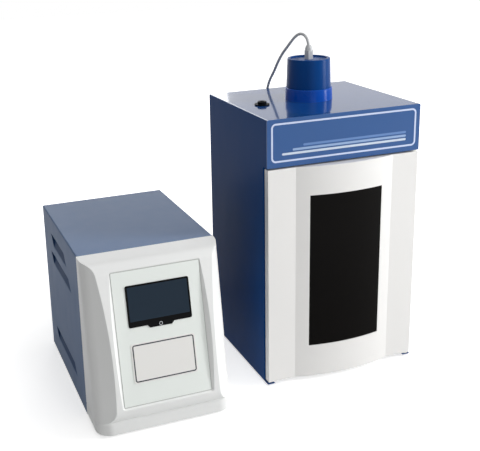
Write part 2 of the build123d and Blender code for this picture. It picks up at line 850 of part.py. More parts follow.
blade_top = louvre_height - louvre_slot
blade_outside = [(0, 0), (sheet, 0), (sheet + louvre_blade_depth, blade_top), (0, blade_top)]
blade_inside = [(0, 0), (louvre_blade_depth, blade_top), (0, blade_top)]
sheet_band = [(0, 0), (sheet, 0), (sheet, louvre_height), (0, louvre_height)]
case_screw_x = [case_inner[0] + case_flange / 2, case_inner[1] - case_flange / 2]
case_screws = [
    rear_plane(x, case_back, floor_z + case_flange + row * (case_height - 2 * case_flange) / 2)
    for x in case_screw_x
    for row in range(3)
]
with BuildPart() as generator_case:
    with BuildSketch(facing(case_front)):
        with Locations((case_x, floor_z)):
            Rectangle(case_width, case_height, align=(Align.CENTER, Align.MIN))
        fillet(vertices().group_by(Axis.Y)[-1], fold_radius)
        with Locations((case_x, floor_z)):
            Rectangle(case_width - 2 * sheet, case_height - sheet, align=(Align.CENTER, Align.MIN),
                      mode=Mode.SUBTRACT)
    extrude(amount=-case_depth)
    for left in (case_inner[0], case_inner[1] - case_flange):
        block(left, left + case_flange, case_back - 2 * sheet, case_back - sheet, floor_z + sheet,
              case_top - sheet)
    for place in case_screws:
        bore(place, screw_radius, 2 * sheet)
    for side in (-1, 1):
        for index in range(len(louvre_lows)):
            add(louvre(side, index, sheet, sheet_band), mode=Mode.SUBTRACT)
            add(louvre(side, index, sheet + louvre_blade_depth, blade_outside, grow=sheet))
            add(louvre(side, index, sheet + louvre_blade_depth, blade_inside), mode=Mode.SUBTRACT)

board_x = case_x + board_shift
board_y = case_front + board_setback
board_z = floor_z + sheet + standoff_height
board_holes = [
    (board_x + side * (board_width / 2 - board_inset), board_y + end * (board_depth / 2 - board_inset))
    for side in (-1, 1)
    for end in (-1, 1)
]
with BuildPart() as generator_chassis:
    block(*case_inner, case_front, case_back - sheet, floor_z, floor_z + sheet)
    for left in (case_inner[0], case_inner[1] - sheet):
        block(left, left + sheet, case_front + sheet, case_back - 2 * sheet, floor_z + sheet,
              floor_z + louvre_lows[2] - sheet)
    for x, y in board_holes:
        bore(Plane((x, y, floor_z + sheet)), standoff_radius, -standoff_height, mode=Mode.ADD)

with BuildPart() as generator_feet:
    feet(case_x, case_width, case_front, case_back)

# Generator front: a leaning, rounded form over a chin, with a sunk panel
panel_plane = Plane(
    origin=(case_x, case_front - panel_reach, floor_z + panel_low), x_dir=(1, 0, 0),
    z_dir=(0, -math.cos(math.radians(panel_tilt)), math.sin(math.radians(panel_tilt))),
)


def on_panel(x, rise, lift=0.0):
    """A plane on the sunk panel, at a place counted from the middle of its lower edge."""
    return panel_plane * Location((x, rise, lift))


def side_outline(inset):
    """Half-plan outline of the leaning form at the brow's level, as seen from above."""
    half = case_width / 2 - inset
    start = brow_reach - side_start
    turn = math.radians(side_turn)
    radius = side_round - inset
    bend = (half - radius * (1 - math.cos(turn)), start + radius * math.sin(turn))
    middle = (half - radius * (1 - math.cos(turn / 2)), start + radius * math.sin(turn / 2))
    tip = (bend[0] - side_run * math.cos(turn), bend[1] + side_run * math.sin(turn))
    return (half, start), middle, bend, tip


def bezel_form(inset):
    """The front moulding's solid form, set in all round except at its open back."""
    back = -2 * inset
    lean = math.radians(side_lean)
    with BuildPart(mode=Mode.PRIVATE) as leaning:
        with BuildSketch(Plane.YZ.offset(case_left + inset)):
            with BuildLine():
                brow = (case_front - brow_reach, floor_z + case_height - brow_drop)
                lip = (case_front - bezel_reach, floor_z + lip_height)
                crease = (case_front - crease_reach, floor_z + crease_height)
                slope = brow_drop / brow_reach
                chord = math.hypot(brow[0] - lip[0], brow[1] - lip[1])
                out = ((lip[1] - brow[1]) / chord, (brow[0] - lip[0]) / chord)
                crown = ((brow[0] + lip[0]) / 2 + out[0] * front_bulge,
                         (brow[1] + lip[1]) / 2 - out[1] * front_bulge)
                heel = (case_front - back, case_top - slope * back)
                Line(heel, brow)
                main = ThreePointArc(brow, crown, lip)
                TangentArc(lip, crease, tangent=main % 1)
                Polyline(crease, (case_front - back, crease[1]), heel)
            make_face()
            fillet(vertices().group_by(Axis.Y)[-2], brow_radius)
            if inset:
                offset(amount=-inset, kind=Kind.INTERSECTION, mode=Mode.REPLACE)
        extrude(amount=case_width - 2 * inset)
        drop = case_height + chin_height
        for side in (-1, 1):
            start, middle, bend, tip = side_outline(inset)
            with BuildSketch(level(brow[1] + chin_height)):
                lift = chin_height * math.tan(lean)

                def spot(point):
                    """A point of the outline, at this level and on this side."""
                    return case_x + side * point[0], case_front - point[1] + lift

                far = start[0] + case_width
                with BuildLine():
                    Line(spot((far, start[1])), spot(start))
                    ThreePointArc(spot(start), spot(middle), spot(bend))
                    Line(spot(bend), spot(tip))
                    Polyline(spot(tip), spot((far, tip[1])), spot((far, start[1])))
                make_face()
            extrude(amount=drop / math.cos(lean), dir=(0, -math.sin(lean), -math.cos(lean)),
                    mode=Mode.SUBTRACT)
    with BuildPart(mode=Mode.PRIVATE) as chin:
        with BuildSketch(level(floor_z + inset)):
            with BuildLine():
                chin_front = case_front - chin_reach + inset
                Polyline((case_left + inset, case_front - back), (case_left + inset, chin_front),
                         (case_right - inset, chin_front), (case_right - inset, case_front - back),
                         close=True)
            make_face()
            fillet(vertices().group_by(Axis.Y)[0], chin_corner_radius - inset)
        extrude(amount=chin_height - 2 * inset)
        front_edges = [
            edge for edge in chin.edges()
            if edge.center().Y < case_front - 1 and abs(edge.tangent_at(0.5).Z) < 0.1
        ]
        fillet([edge for edge in front_edges if edge.center().Z > floor_z + chin_height / 2],
               chin_round - inset)
        if not inset:
            fillet([edge for edge in chin.edges() if edge.center().Z < floor_z + 0.01
                    and edge.center().Y < case_front - 1], chin_foot_round)
    return leaning.part, chin.part


with BuildPart() as front_bezel:
    for form in bezel_form(0):
        add(form)
    with BuildPart(mode=Mode.PRIVATE) as bezel_cavity:
        for form in bezel_form(bezel_wall):
            add(form)
        block(case_left + bezel_wall, case_right - bezel_wall, case_front - brow_reach,
              case_front + bezel_wall, floor_z + bezel_wall, floor_z + lip_height)
        with BuildSketch(on_panel(0, panel_height / 2, -bezel_wall)):
            RectangleRounded(panel_width + bezel_wall, panel_height + bezel_wall, panel_corner)
        extrude(amount=pocket_reach, taper=-pocket_draft, mode=Mode.SUBTRACT)
    add(bezel_cavity.part, mode=Mode.SUBTRACT)
    with BuildSketch(on_panel(0, panel_height / 2)):
        RectangleRounded(panel_width, panel_height, panel_corner)
    extrude(amount=pocket_reach, taper=-pocket_draft, mode=Mode.SUBTRACT)
    with BuildSketch(on_panel(0, screen_low + screen_height / 2)):
        Rectangle(screen_width - 2 * module_inset, screen_height - 2 * module_inset)
    extrude(amount=-2 * bezel_wall, mode=Mode.SUBTRACT)


def screen_outline(grow):
    """The screen's glass, with its tab below, on the panel."""
    with Locations((0, screen_low + screen_height / 2)):
        RectangleRounded(screen_width + 2 * grow, screen_height + 2 * grow, screen_corner + grow)
    half = screen_tab_width / 2 + grow
    tab_low = screen_low - screen_tab_height - grow
    Polygon((-half - screen_tab_slant, screen_low + grow), (half + screen_tab_slant, screen_low + grow),
            (half, tab_low), (-half, tab_low), align=None)


with BuildPart() as front_overlay:
    with BuildSketch(on_panel(0, 0)):
        with Locations((0, panel_height / 2)):
            RectangleRounded(panel_width - 2 * slip_fit, panel_height - 2 * slip_fit, panel_corner)
    extrude(amount=overlay_thickness)
    with BuildSketch(on_panel(0, 0)):
        screen_outline(slip_fit)
    extrude(amount=overlay_thickness, mode=Mode.SUBTRACT)

with BuildPart() as touch_screen:
    with BuildSketch(on_panel(0, 0)):
        screen_outline(0)
    extrude(amount=screen_thickness)
    with BuildSketch(on_panel(0, screen_low + screen_height / 2)):
        inset = module_inset + slip_fit
        Rectangle(screen_width - 2 * inset, screen_height - 2 * inset)
    extrude(amount=-module_depth)

with BuildPart() as blank_plate:
    with BuildSketch(on_panel(0, blank_low + blank_height / 2, overlay_thickness)):
        RectangleRounded(blank_width, blank_height, blank_corner)
    extrude(amount=blank_thickness)

# Generator rear: the panel and what it carries
fan_x = case_x + fan_right
fan_z = floor_z + fan_height
inlet_x = case_x - inlet_left
inlet_z = floor_z + inlet_height
inlet_low = inlet_z - inlet_tall / 2
switch_x = case_x - switch_left
switch_z = floor_z + switch_height
output_x = case_x + output_right
output_z = floor_z + output_height
sensor_x = case_x + sensor_right
sensor_z = floor_z + sensor_height
fan_holes = [
    (fan_x + side * fan_fixing_spacing / 2, fan_z + rise * fan_fixing_spacing / 2)
    for side in (-1, 1)
    for rise in (-1, 1)
]
with BuildPart() as rear_panel:
    block(*case_inner, case_back - sheet, case_back, floor_z, case_top - sheet)
    bore(rear_plane(fan_x, case_back, fan_z), fan_duct_radius, sheet)
    for x, z in fan_holes:
        bore(rear_plane(x, case_back, z), screw_radius, sheet)
    for place in case_screws:
        bore(place, screw_radius, sheet)
    openings = ((inlet_x, inlet_z, inlet_width, inlet_tall), (switch_x, switch_z, switch_width, switch_tall))
    for x, z, width, tall in openings:
        block(x - width / 2, x + width / 2, case_back - sheet, case_back, z - tall / 2, z + tall / 2,
              mode=Mode.SUBTRACT)
    bore(rear_plane(output_x, case_back, output_z), output_radius, sheet)
    bore(rear_plane(sensor_x, case_back, sensor_z), sensor_radius, sheet)

fan_inside = case_back - sheet - fan_depth
motor_face = fan_inside + fan_motor_depth
with BuildPart() as fan_frame:
    with BuildSketch(rear_plane(fan_x, case_back - sheet, fan_z)):
        RectangleRounded(fan_size, fan_size, fan_corner)
        Circle(fan_duct_radius, mode=Mode.SUBTRACT)
        with GridLocations(fan_fixing_spacing, fan_fixing_spacing, 2, 2):
            Circle(screw_radius, mode=Mode.SUBTRACT)
    extrude(amount=-fan_depth)
    with BuildSketch(rear_plane(fan_x, motor_face, fan_z)):
        Circle(fan_motor_radius)
        for turn in (45, 135):
            Rectangle(2 * fan_duct_radius + 1, fan_strut_width, rotation=turn)
    extrude(amount=-fan_motor_depth)
    bore(rear_plane(fan_x, motor_face, fan_z), fan_axle_radius + running_fit, fan_motor_depth)

with BuildPart() as fan_rotor:
    hub_face = motor_face + fan_end_gap
    bore(rear_plane(fan_x, hub_face, fan_z), fan_hub_radius, -fan_hub_depth, mode=Mode.ADD)
    bore(rear_plane(fan_x, hub_face, fan_z), fan_axle_radius, fan_motor_depth + fan_end_gap, mode=Mode.ADD)
    blade_tip = fan_duct_radius - fan_tip_gap
    blade_root = fan_hub_radius - fan_blade_sink
    for blade in range(fan_blades):
        around = Location((fan_x, hub_face + fan_hub_depth / 2, fan_z), (0, 360 / fan_blades * blade, 0))
        with Locations(around * Location(((blade_tip + blade_root) / 2, 0, 0), (fan_blade_pitch, 0, 0))):
            Box(blade_tip - blade_root, fan_blade_chord, fan_blade_thickness)

with BuildPart() as fan_guard:
    guard_plane = rear_plane(fan_x, case_back + guard_stand, fan_z)
    with BuildSketch(guard_plane):
        for radius in guard_rings:
            Circle(radius + guard_wire / 2)
            Circle(radius - guard_wire / 2, mode=Mode.SUBTRACT)
        for turn in (45, 135):
            Rectangle(fan_fixing_spacing * math.sqrt(2), guard_wire, rotation=turn)
    extrude(amount=guard_thickness)
    for x, z in fan_holes:
        bore(rear_plane(x, case_back, z), screw_head_radius, -(guard_stand + guard_thickness), mode=Mode.ADD)
        bore(rear_plane(x, case_back, z), screw_radius, -(guard_stand + guard_thickness))

with BuildPart() as generator_screws:
    pan_screws(case_screws, 2 * sheet + screw_tail)
    pan_screws([rear_plane(x, case_back + guard_stand + guard_thickness, z) for x, z in fan_holes],
               guard_stand + guard_thickness + sheet + fan_corner)

with BuildPart() as mains_inlet:
    inlet_face = case_back + inlet_flange
    block(inlet_x - inlet_width / 2 - inlet_flange_lap, inlet_x + inlet_width / 2 + inlet_flange_lap,
          case_back, inlet_face, inlet_low - inlet_flange_lap, inlet_low + inlet_tall + inlet_flange_lap)
    fillet(mains_inlet.edges().filter_by(Axis.Y), inlet_flange_lap)
    block(inlet_x - inlet_width / 2, inlet_x + inlet_width / 2, case_back - inlet_depth, case_back,
          inlet_low, inlet_low + inlet_tall)
    with BuildSketch(rear_plane(inlet_x, inlet_face, inlet_low + well_low + well_height / 2)):
        Rectangle(well_width, well_height)
        chamfer(vertices().group_by(Axis.Z)[-1], well_height / 4)
    extrude(amount=-well_depth, mode=Mode.SUBTRACT)
    well_floor_y = inlet_face - well_depth
    for x, z in ((0, well_pin_rise), (-well_pin_spread, -well_pin_rise), (well_pin_spread, -well_pin_rise)):
        middle = inlet_low + well_low + well_height / 2 + z
        block(inlet_x + x - pin_width / 2, inlet_x + x + pin_width / 2, well_floor_y,
              well_floor_y + inlet_pin_length, middle - pin_width, middle + pin_width)
    block(inlet_x - drawer_width / 2, inlet_x + drawer_width / 2, inlet_face - drawer_depth, inlet_face,
          inlet_low + drawer_low, inlet_low + drawer_low + drawer_height, mode=Mode.SUBTRACT)

with BuildPart() as fuse_drawer:
    drawer_z = (inlet_low + drawer_low + running_fit, inlet_low + drawer_low + drawer_height - running_fit)
    drawer_half = drawer_width / 2 - running_fit
    block(inlet_x - drawer_half, inlet_x + drawer_half, inlet_face - drawer_depth + slip_fit, inlet_face,
          *drawer_z)
    block(inlet_x - drawer_half + drawer_lip, inlet_x + drawer_half - drawer_lip,
          inlet_face - drawer_depth + drawer_lip, inlet_face - 2 * drawer_lip,
          drawer_z[0] + drawer_lip, drawer_z[1], mode=Mode.SUBTRACT)
    block(inlet_x - drawer_half / 2, inlet_x + drawer_half / 2, inlet_face, inlet_face + drawer_lip,
          drawer_z[1] - drawer_lip, drawer_z[1])

with BuildPart() as switch_body:
    switch_face = case_back + switch_flange
    block(switch_x - switch_width / 2 - switch_flange_lap, switch_x + switch_width / 2 + switch_flange_lap,
          case_back, switch_face, switch_z - switch_tall / 2 - switch_flange_lap,
          switch_z + switch_tall / 2 + switch_flange_lap)
    block(switch_x - switch_width / 2, switch_x + switch_width / 2, case_back - switch_depth, case_back,
          switch_z - switch_tall / 2, switch_z + switch_tall / 2)
    block(switch_x - rocker_width / 2 - slip_fit, switch_x + rocker_width / 2 + slip_fit,
          switch_face - switch_well_depth, switch_face, switch_z - rocker_tall / 2 - switch_well_end,
          switch_z + rocker_tall / 2 + switch_well_end, mode=Mode.SUBTRACT)
    rocker_y = switch_face - rocker_sink
    axle = Plane(origin=(switch_x + rocker_width / 2 + rocker_peg, rocker_y, switch_z), z_dir=(1, 0, 0))
    bore(axle, rocker_axle_radius + running_fit, rocker_width + 2 * rocker_peg)

with BuildPart() as power_rocker:
    tilt = math.radians(rocker_tilt)
    rocker_side = Plane(origin=(switch_x - rocker_width / 2, rocker_y, switch_z),
                        x_dir=(0, math.cos(tilt), -math.sin(tilt)), z_dir=(1, 0, 0))
    with BuildSketch(rocker_side):
        end = rocker_crown + rocker_tall / 2 * math.tan(tilt)
        back = rocker_crown - rocker_thickness
        Polygon((rocker_crown, 0), (end, rocker_tall / 2), (back, rocker_tall / 3), (back, -rocker_tall / 3),
                (end, -rocker_tall / 2), align=None)
    extrude(amount=rocker_width)
    bore(axle.offset(-slip_fit), rocker_axle_radius, rocker_width + 2 * rocker_peg - 2 * slip_fit,
         mode=Mode.ADD)

with BuildPart() as output_socket:
    output_rim = rear_plane(output_x, case_back + output_reach, output_z)
    bore(rear_plane(output_x, case_back, output_z), output_flange_radius, -output_flange, mode=Mode.ADD)
    bore(output_rim, output_radius, output_reach + output_depth, mode=Mode.ADD)
    bore(output_rim, output_radius - output_flange, output_reach)
    bore(rear_plane(output_x, case_back, output_z), output_flange, -output_reach / 2, mode=Mode.ADD)

with BuildPart() as sensor_socket:
    sensor_rim = rear_plane(sensor_x, case_back + sensor_reach, sensor_z)
    bore(rear_plane(sensor_x, case_back, sensor_z), sensor_flange_radius, -output_flange, mode=Mode.ADD)
    bore(sensor_rim, sensor_radius, sensor_reach + output_depth, mode=Mode.ADD)
    bore(sensor_rim, sensor_bore, 2 * sensor_reach)

# Inside the generator
with BuildPart() as main_board:
    block(board_x - board_width / 2, board_x + board_width / 2, board_y - board_depth / 2,
          board_y + board_depth / 2, board_z, board_z + board_thickness)

with BuildPart() as heatsink:
    sink_x = board_x + heatsink_shift
    sink_z = board_z + board_thickness
    sides = (sink_x - heatsink_width / 2, sink_x + heatsink_width / 2)
    ends = (board_y - heatsink_depth / 2, board_y + heatsink_depth / 2)
    block(*sides, *ends, sink_z, sink_z + heatsink_base)
    for fin in range(heatsink_fins):
        left = sides[0] + fin * (heatsink_width - fin_thickness) / (heatsink_fins - 1)
        block(left, left + fin_thickness, *ends, sink_z + heatsink_base, sink_z + heatsink_height)

with BuildPart() as mains_transformer:
    core_x = case_x - transformer_left
    core_y = case_back - sheet - transformer_setback
    core_z = floor_z + sheet
    block(core_x - core_width / 2, core_x + core_width / 2, core_y - core_depth / 2, core_y + core_depth / 2,
          core_z, core_z + core_height)
    block(core_x - winding_width / 2, core_x + winding_width / 2, core_y - winding_depth / 2,
          core_y + winding_depth / 2, core_z + (core_height - winding_height) / 2,
          core_z + (core_height + winding_height) / 2)
    fillet(mains_transformer.edges().filter_by(Axis.Z).group_by(Axis.Y)[0], winding_round)
    fillet(mains_transformer.edges().filter_by(Axis.Z).group_by(Axis.Y)[-1], winding_round)

# Cable: out of the gland in an arch, down behind the chamber, over the floor and into its plug
plug_y = case_back + output_flange + slip_fit
plug_end = plug_y + plug_length
with BuildPart() as cable_plug:
    bore(rear_plane(output_x, plug_y, output_z), plug_radius, -plug_length, mode=Mode.ADD)
    chamfer(cable_plug.edges().group_by(Axis.Y)[-1], 2)
    bore(rear_plane(output_x, plug_end, output_z), plug_tail_radius, -plug_tail_length, mode=Mode.ADD)
    rib_step = plug_tail_length / (plug_ribs + 1)
    for rib in range(1, plug_ribs + 1):
        with BuildSketch(rear_plane(output_x, plug_end + rib * rib_step, output_z)):
            Circle(plug_tail_radius)
            Circle(plug_tail_radius - rib_step / 2, mode=Mode.SUBTRACT)
        extrude(amount=-rib_step / 2, mode=Mode.SUBTRACT)
    bore(rear_plane(output_x, plug_y, output_z), output_radius, -(output_reach - output_flange))

heading = math.radians(cable_heading)
cable_points = [
    (chamber_x + along * math.cos(heading), converter_y + along * math.sin(heading), chamber_top + rise)
    for along, rise in ((0, neck_top),) + cable_arch
]
cable_points += [(chamber_x + x, chamber_back + y, z) for x, y, z in cable_drop]
cable_points += [(output_x + x, plug_end + plug_tail_length + y, output_z + z) for x, y, z in cable_lead]


def bend_radii(points):
    """Radii that fill just under half of the shorter straight at each corner."""
    radii = []
    for a, b, c in zip(points, points[1:], points[2:]):
        first, second = Vector(b) - Vector(a), Vector(c) - Vector(b)
        half_turn = math.radians(first.get_angle(second)) / 2
        radii.append(0.45 * min(first.length, second.length) / math.tan(half_turn))
    return radii


with BuildPart() as converter_cable:
    with BuildLine() as cable_line:
        FilletPolyline(*cable_points, radius=bend_radii(cable_points))
    with BuildSketch(Plane(origin=cable_points[0], z_dir=Vector(cable_points[1]) - Vector(cable_points[0]))):
        Circle(cable_radius)
    sweep(path=cable_line.wires()[0], transition=Transition.RIGHT)

print("cable radii", [round(radius, 1) for radius in bend_radii(cable_points)])
print("cable length", round(cable_line.wires()[0].length, 1), "volume ratio",
      round(converter_cable.part.volume / (math.pi * cable_radius**2 * cable_line.wires()[0].length), 4))

pieces = {
    "chamber_shell": chamber_shell,
    "header_panel": header_panel,
    "chamber_base": chamber_base,
    "chamber_back": chamber_back_panel,
    "chamber_screws": chamber_screws,
    "chamber_feet": chamber_feet,
    "foam_sides": foam_sides,
    "foam_back": foam_back,
    "foam_top": foam_top,
    "floor_mat": floor_mat,
    "probe_grommet": probe_grommet,
    "door_skin": door_skin,
    "door_liner": door_liner,
    "door_window": door_window,
    "window_reveal": window_reveal,
    "door_seal": door_seal,
    "door_magnets": door_magnets,
    "door_bushes": door_bushes,
    "hinge_pins": hinge_pins,
    "converter_collar": converter_collar,
    "collar_nut": collar_nut,
    "converter_sleeve": converter_sleeve,
    "converter_cap": converter_cap,
    "gland_body": gland_body,
    "gland_nut": gland_nut,
    "piezo_rings": piezo_rings,
    "electrodes": electrodes,
    "back_mass": back_mass,
    "prestress_bolt": prestress_bolt,
    "front_mass": front_mass,
    "horn": horn,
    "probe_tip": probe_tip,
    "stand_base": stand_base,
    "stand_post": stand_post,
    "platform_arm": platform_arm,
    "sample_platform": sample_platform,
    "clamp_knob": clamp_knob,
    "generator_case": generator_case,
    "generator_chassis": generator_chassis,
    "generator_feet": generator_feet,
    "front_bezel": front_bezel,
    "front_overlay": front_overlay,
    "touch_screen": touch_screen,
    "blank_plate": blank_plate,
    "rear_panel": rear_panel,
    "fan_frame": fan_frame,
    "fan_rotor": fan_rotor,
    "fan_guard": fan_guard,
    "generator_screws": generator_screws,
    "mains_inlet": mains_inlet,
    "fuse_drawer": fuse_drawer,
    "switch_body": switch_body,
    "power_rocker": power_rocker,
    "output_socket": output_socket,
    "sensor_socket": sensor_socket,
    "main_board": main_board,
    "heatsink": heatsink,
    "mains_transformer": mains_transformer,
    "cable_plug": cable_plug,
    "converter_cable": converter_cable,
}
for name, piece in pieces.items():
    piece.part.label = name
    export_step(piece.part, f"parts/{name}.step")
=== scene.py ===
"""Looks of the probe sonicator: finishes, free cable, foam lining and the studio round it."""

from __future__ import annotations

import logging
import math
from dataclasses import dataclass, replace
from enum import Enum
from typing import Optional, Sequence, Union

import bpy
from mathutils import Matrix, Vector


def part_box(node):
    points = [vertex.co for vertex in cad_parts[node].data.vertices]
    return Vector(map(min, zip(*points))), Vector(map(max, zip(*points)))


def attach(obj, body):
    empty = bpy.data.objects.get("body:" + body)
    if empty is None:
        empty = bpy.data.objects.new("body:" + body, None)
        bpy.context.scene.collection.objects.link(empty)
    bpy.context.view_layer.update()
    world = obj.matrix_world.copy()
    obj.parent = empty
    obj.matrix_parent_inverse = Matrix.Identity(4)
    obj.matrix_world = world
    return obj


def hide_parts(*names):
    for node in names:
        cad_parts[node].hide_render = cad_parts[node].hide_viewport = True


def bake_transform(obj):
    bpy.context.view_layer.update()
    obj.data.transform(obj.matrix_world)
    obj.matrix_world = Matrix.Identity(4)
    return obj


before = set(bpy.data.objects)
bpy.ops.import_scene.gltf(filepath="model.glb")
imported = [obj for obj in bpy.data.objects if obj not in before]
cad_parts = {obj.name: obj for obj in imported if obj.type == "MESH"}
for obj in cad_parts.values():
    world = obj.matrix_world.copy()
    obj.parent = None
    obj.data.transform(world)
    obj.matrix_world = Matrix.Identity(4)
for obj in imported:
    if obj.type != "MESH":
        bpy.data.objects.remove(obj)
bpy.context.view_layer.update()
LOG = logging.getLogger("probe_sonicator")

Colour = tuple[float, float, float]
Point = tuple[float, float, float]
Feed = Union[bpy.types.NodeSocket, float, tuple]

# The cable's route in metres, from its gland to its plug, as the control points of its curve.
CABLE_ROUTE: tuple[Point, ...] = (
    (0.1640, 0.0012, 0.5819), (0.1640, 0.0012, 0.6000), (0.1619, 0.0130, 0.6120),
    (0.1589, 0.0297, 0.6130), (0.1559, 0.0465, 0.6030), (0.1529, 0.0632, 0.5870),
    (0.1499, 0.0800, 0.5720), (0.1471, 0.0957, 0.5530), (0.1446, 0.1095, 0.5310),
    (0.1416, 0.1262, 0.5100), (0.1401, 0.1351, 0.4840), (0.1392, 0.1400, 0.4540),
    (0.1388, 0.1420, 0.4210), (0.1375, 0.1442, 0.3750), (0.1335, 0.1472, 0.3150),
    (0.1280, 0.1517, 0.2500), (0.1245, 0.1587, 0.1800), (0.1190, 0.1682, 0.1120),
    (0.1080, 0.1842, 0.0550), (0.0880, 0.2082, 0.0140), (0.0500, 0.2382, 0.0034),
    (-0.0020, 0.2622, 0.0030), (-0.0600, 0.2762, 0.0032), (-0.1120, 0.3002, 0.0030),
    (-0.1497, 0.3345, 0.0040), (-0.1578, 0.3685, 0.0120), (-0.1398, 0.3885, 0.0380),
    (-0.1247, 0.3625, 0.0660), (-0.1217, 0.3185, 0.0780), (-0.1217, 0.2385, 0.0780),
)

# Fine detail that finishes share. A scale is in humps to a metre, and a range is read off noise.
DRIFT_SCALE, DRIFT_DETAIL = 9.0, 3.0
MARK_SCALE, MARK_DETAIL = 38.0, 5.0
MARK_SQUEEZE = (1.0, 1.0, 0.45)
MARK_RANGE = (0.35, 0.7)
SPECKLE_SCALE, SPECKLE_DETAIL = 1400.0, 1.0
SPECKLE_RANGE = (0.58, 0.66)
SPECKLE_SHARE = 0.5
BRUSHED_SQUEEZE = 0.04
BUMP_STRENGTH, BUMP_DEPTH = 0.35, 0.001
COAT_ROUGHNESS = 0.08
# How far up a face must look to take the painted top sheen.
TOP_SHEEN_RANGE = (0.5, 0.9)
PRINT_EDGE = 0.00015
LOOKS_ALONG = 0.95
WHITE = (1.0, 1.0, 1.0, 1.0)


def srgb(red: int, green: int, blue: int) -> Colour:
    """Turns a colour as a screen shows it, 0 to 255, into the linear colour a shader takes.

    Args:
        red: red as shown.
        green: green as shown.
        blue: blue as shown.

    Returns:
        The linear colour.
    """
    shown = [value / 255.0 for value in (red, green, blue)]
    return tuple(v / 12.92 if v <= 0.04045 else ((v + 0.055) / 1.055) ** 2.4 for v in shown)


class Axis(Enum):
    """The direction that a brushed surface's lines run in."""

    X = 0
    Y = 1


class Tree:
    """Short calls for building a node tree, in a material or in a group."""

    def __init__(self, tree: bpy.types.NodeTree) -> None:
        """Keeps the tree that nodes are added to."""
        self.tree = tree

    def node(self, kind: str, **settings: object) -> bpy.types.Node:
        """Adds a node.

        Args:
            kind: the node's type name.
            settings: its properties, by name.

        Returns:
            The new node.
        """
        made = self.tree.nodes.new(kind)
        for name, value in settings.items():
            setattr(made, name, value)
        return made

    def link(self, source: Feed, target: bpy.types.NodeSocket) -> None:
        """Joins a socket to an input, or writes a plain value on it.

        Args:
            source: an output socket, or a number, colour or vector.
            target: the input socket.
        """
        if isinstance(source, bpy.types.NodeSocket):
            self.tree.links.new(source, target)
        else:
            target.default_value = source

    def math(self, operation: str, *values: Feed) -> bpy.types.NodeSocket:
        """Adds a math node.

        Args:
            operation: the operation's name.
            values: its inputs, sockets or numbers.

        Returns:
            The result's socket.
        """
        made = self.node("ShaderNodeMath", operation=operation)
        for index, value in enumerate(values):
            self.link(value, made.inputs[index])
        return made.outputs[0]

    def vector(self, operation: str, *values: Feed) -> bpy.types.NodeSocket:
        """Adds a vector math node that gives a vector.

        Args:
            operation: the operation's name.
            values: its inputs, sockets or vectors.

        Returns:
            The result's socket.
        """
        made = self.node("ShaderNodeVectorMath", operation=operation)
        for index, value in enumerate(values):
            self.link(value, made.inputs[index])
        return made.outputs[0]

    def length(self, vector: Feed) -> bpy.types.NodeSocket:
        """Adds a node that measures a vector.

        Args:
            vector: the vector.

        Returns:
            The length's socket.
        """
        made = self.node("ShaderNodeVectorMath", operation="LENGTH")
        self.link(vector, made.inputs[0])
        return made.outputs["Value"]

    def split(self, vector: Feed) -> Sequence[bpy.types.NodeSocket]:
        """Adds a node that parts a vector into its three numbers.

        Args:
            vector: the vector.

        Returns:
            The sockets for across, back and up.
        """
        made = self.node("ShaderNodeSeparateXYZ")
        self.link(vector, made.inputs[0])
        return made.outputs

    def ramp(self, value: Feed, low: float, high: float, to_low: float = 0.0,
             to_high: float = 1.0) -> bpy.types.NodeSocket:
        """Adds a clamped map range node.

        Args:
            value: the number or socket to map.
            low: the value that gives to_low.
            high: the value that gives to_high.
            to_low: the result at low.
            to_high: the result at high.

        Returns:
            The result's socket.
        """
        made = self.node("ShaderNodeMapRange", clamp=True)
        for index, number in enumerate((value, low, high, to_low, to_high)):
            self.link(number, made.inputs[index])
        return made.outputs[0]

    def mix(self, share: Feed, first: Feed, second: Feed) -> bpy.types.NodeSocket:
        """Adds a colour mix.

        Args:
            share: how much of the second colour, a number or socket.
            first: the first colour.
            second: the second colour.

        Returns:
            The mixed colour's socket.
        """
        made = self.node("ShaderNodeMix", data_type="RGBA")
        self.link(share, made.inputs[0])
        for index, colour in ((6, first), (7, second)):
            if not isinstance(colour, bpy.types.NodeSocket):
                colour = (*colour[:3], 1.0)
            self.link(colour, made.inputs[index])
        return made.outputs[2]

    def noise(self, vector: Feed, scale: Feed, detail: float = 2.0) -> bpy.types.NodeSocket:
        """Adds a noise texture.

        Args:
            vector: where it is read.
            scale: how many humps to a metre, a number or socket.
            detail: how many finer layers it has.

        Returns:
            The noise's factor socket.
        """
        made = self.node("ShaderNodeTexNoise")
        self.link(vector, made.inputs["Vector"])
        self.link(scale, made.inputs["Scale"])
        made.inputs["Detail"].default_value = detail
        return made.outputs[0]

    def group(self, shared: bpy.types.NodeTree, takes: dict[str, Feed]) -> bpy.types.Node:
        """Places a shared node group and fills its inputs.

        Args:
            shared: the group.
            takes: its inputs, by name.

        Returns:
            The group's node.
        """
        made = self.node("ShaderNodeGroup", node_tree=shared)
        for label, value in takes.items():
            self.link(value, made.inputs[label])
        return made

    def looked_at(self) -> bpy.types.NodeSocket:
        """Adds a light path that gives 1 to the camera, gloss and glass, and 0 to other rays.

        Returns:
            The mask's socket.
        """
        path = self.node("ShaderNodeLightPath")
        camera, glossy, glass = (path.outputs[f"Is {kind} Ray"]
                                 for kind in ("Camera", "Glossy", "Transmission"))
        return self.math("MAXIMUM", self.math("MAXIMUM", camera, glossy), glass)


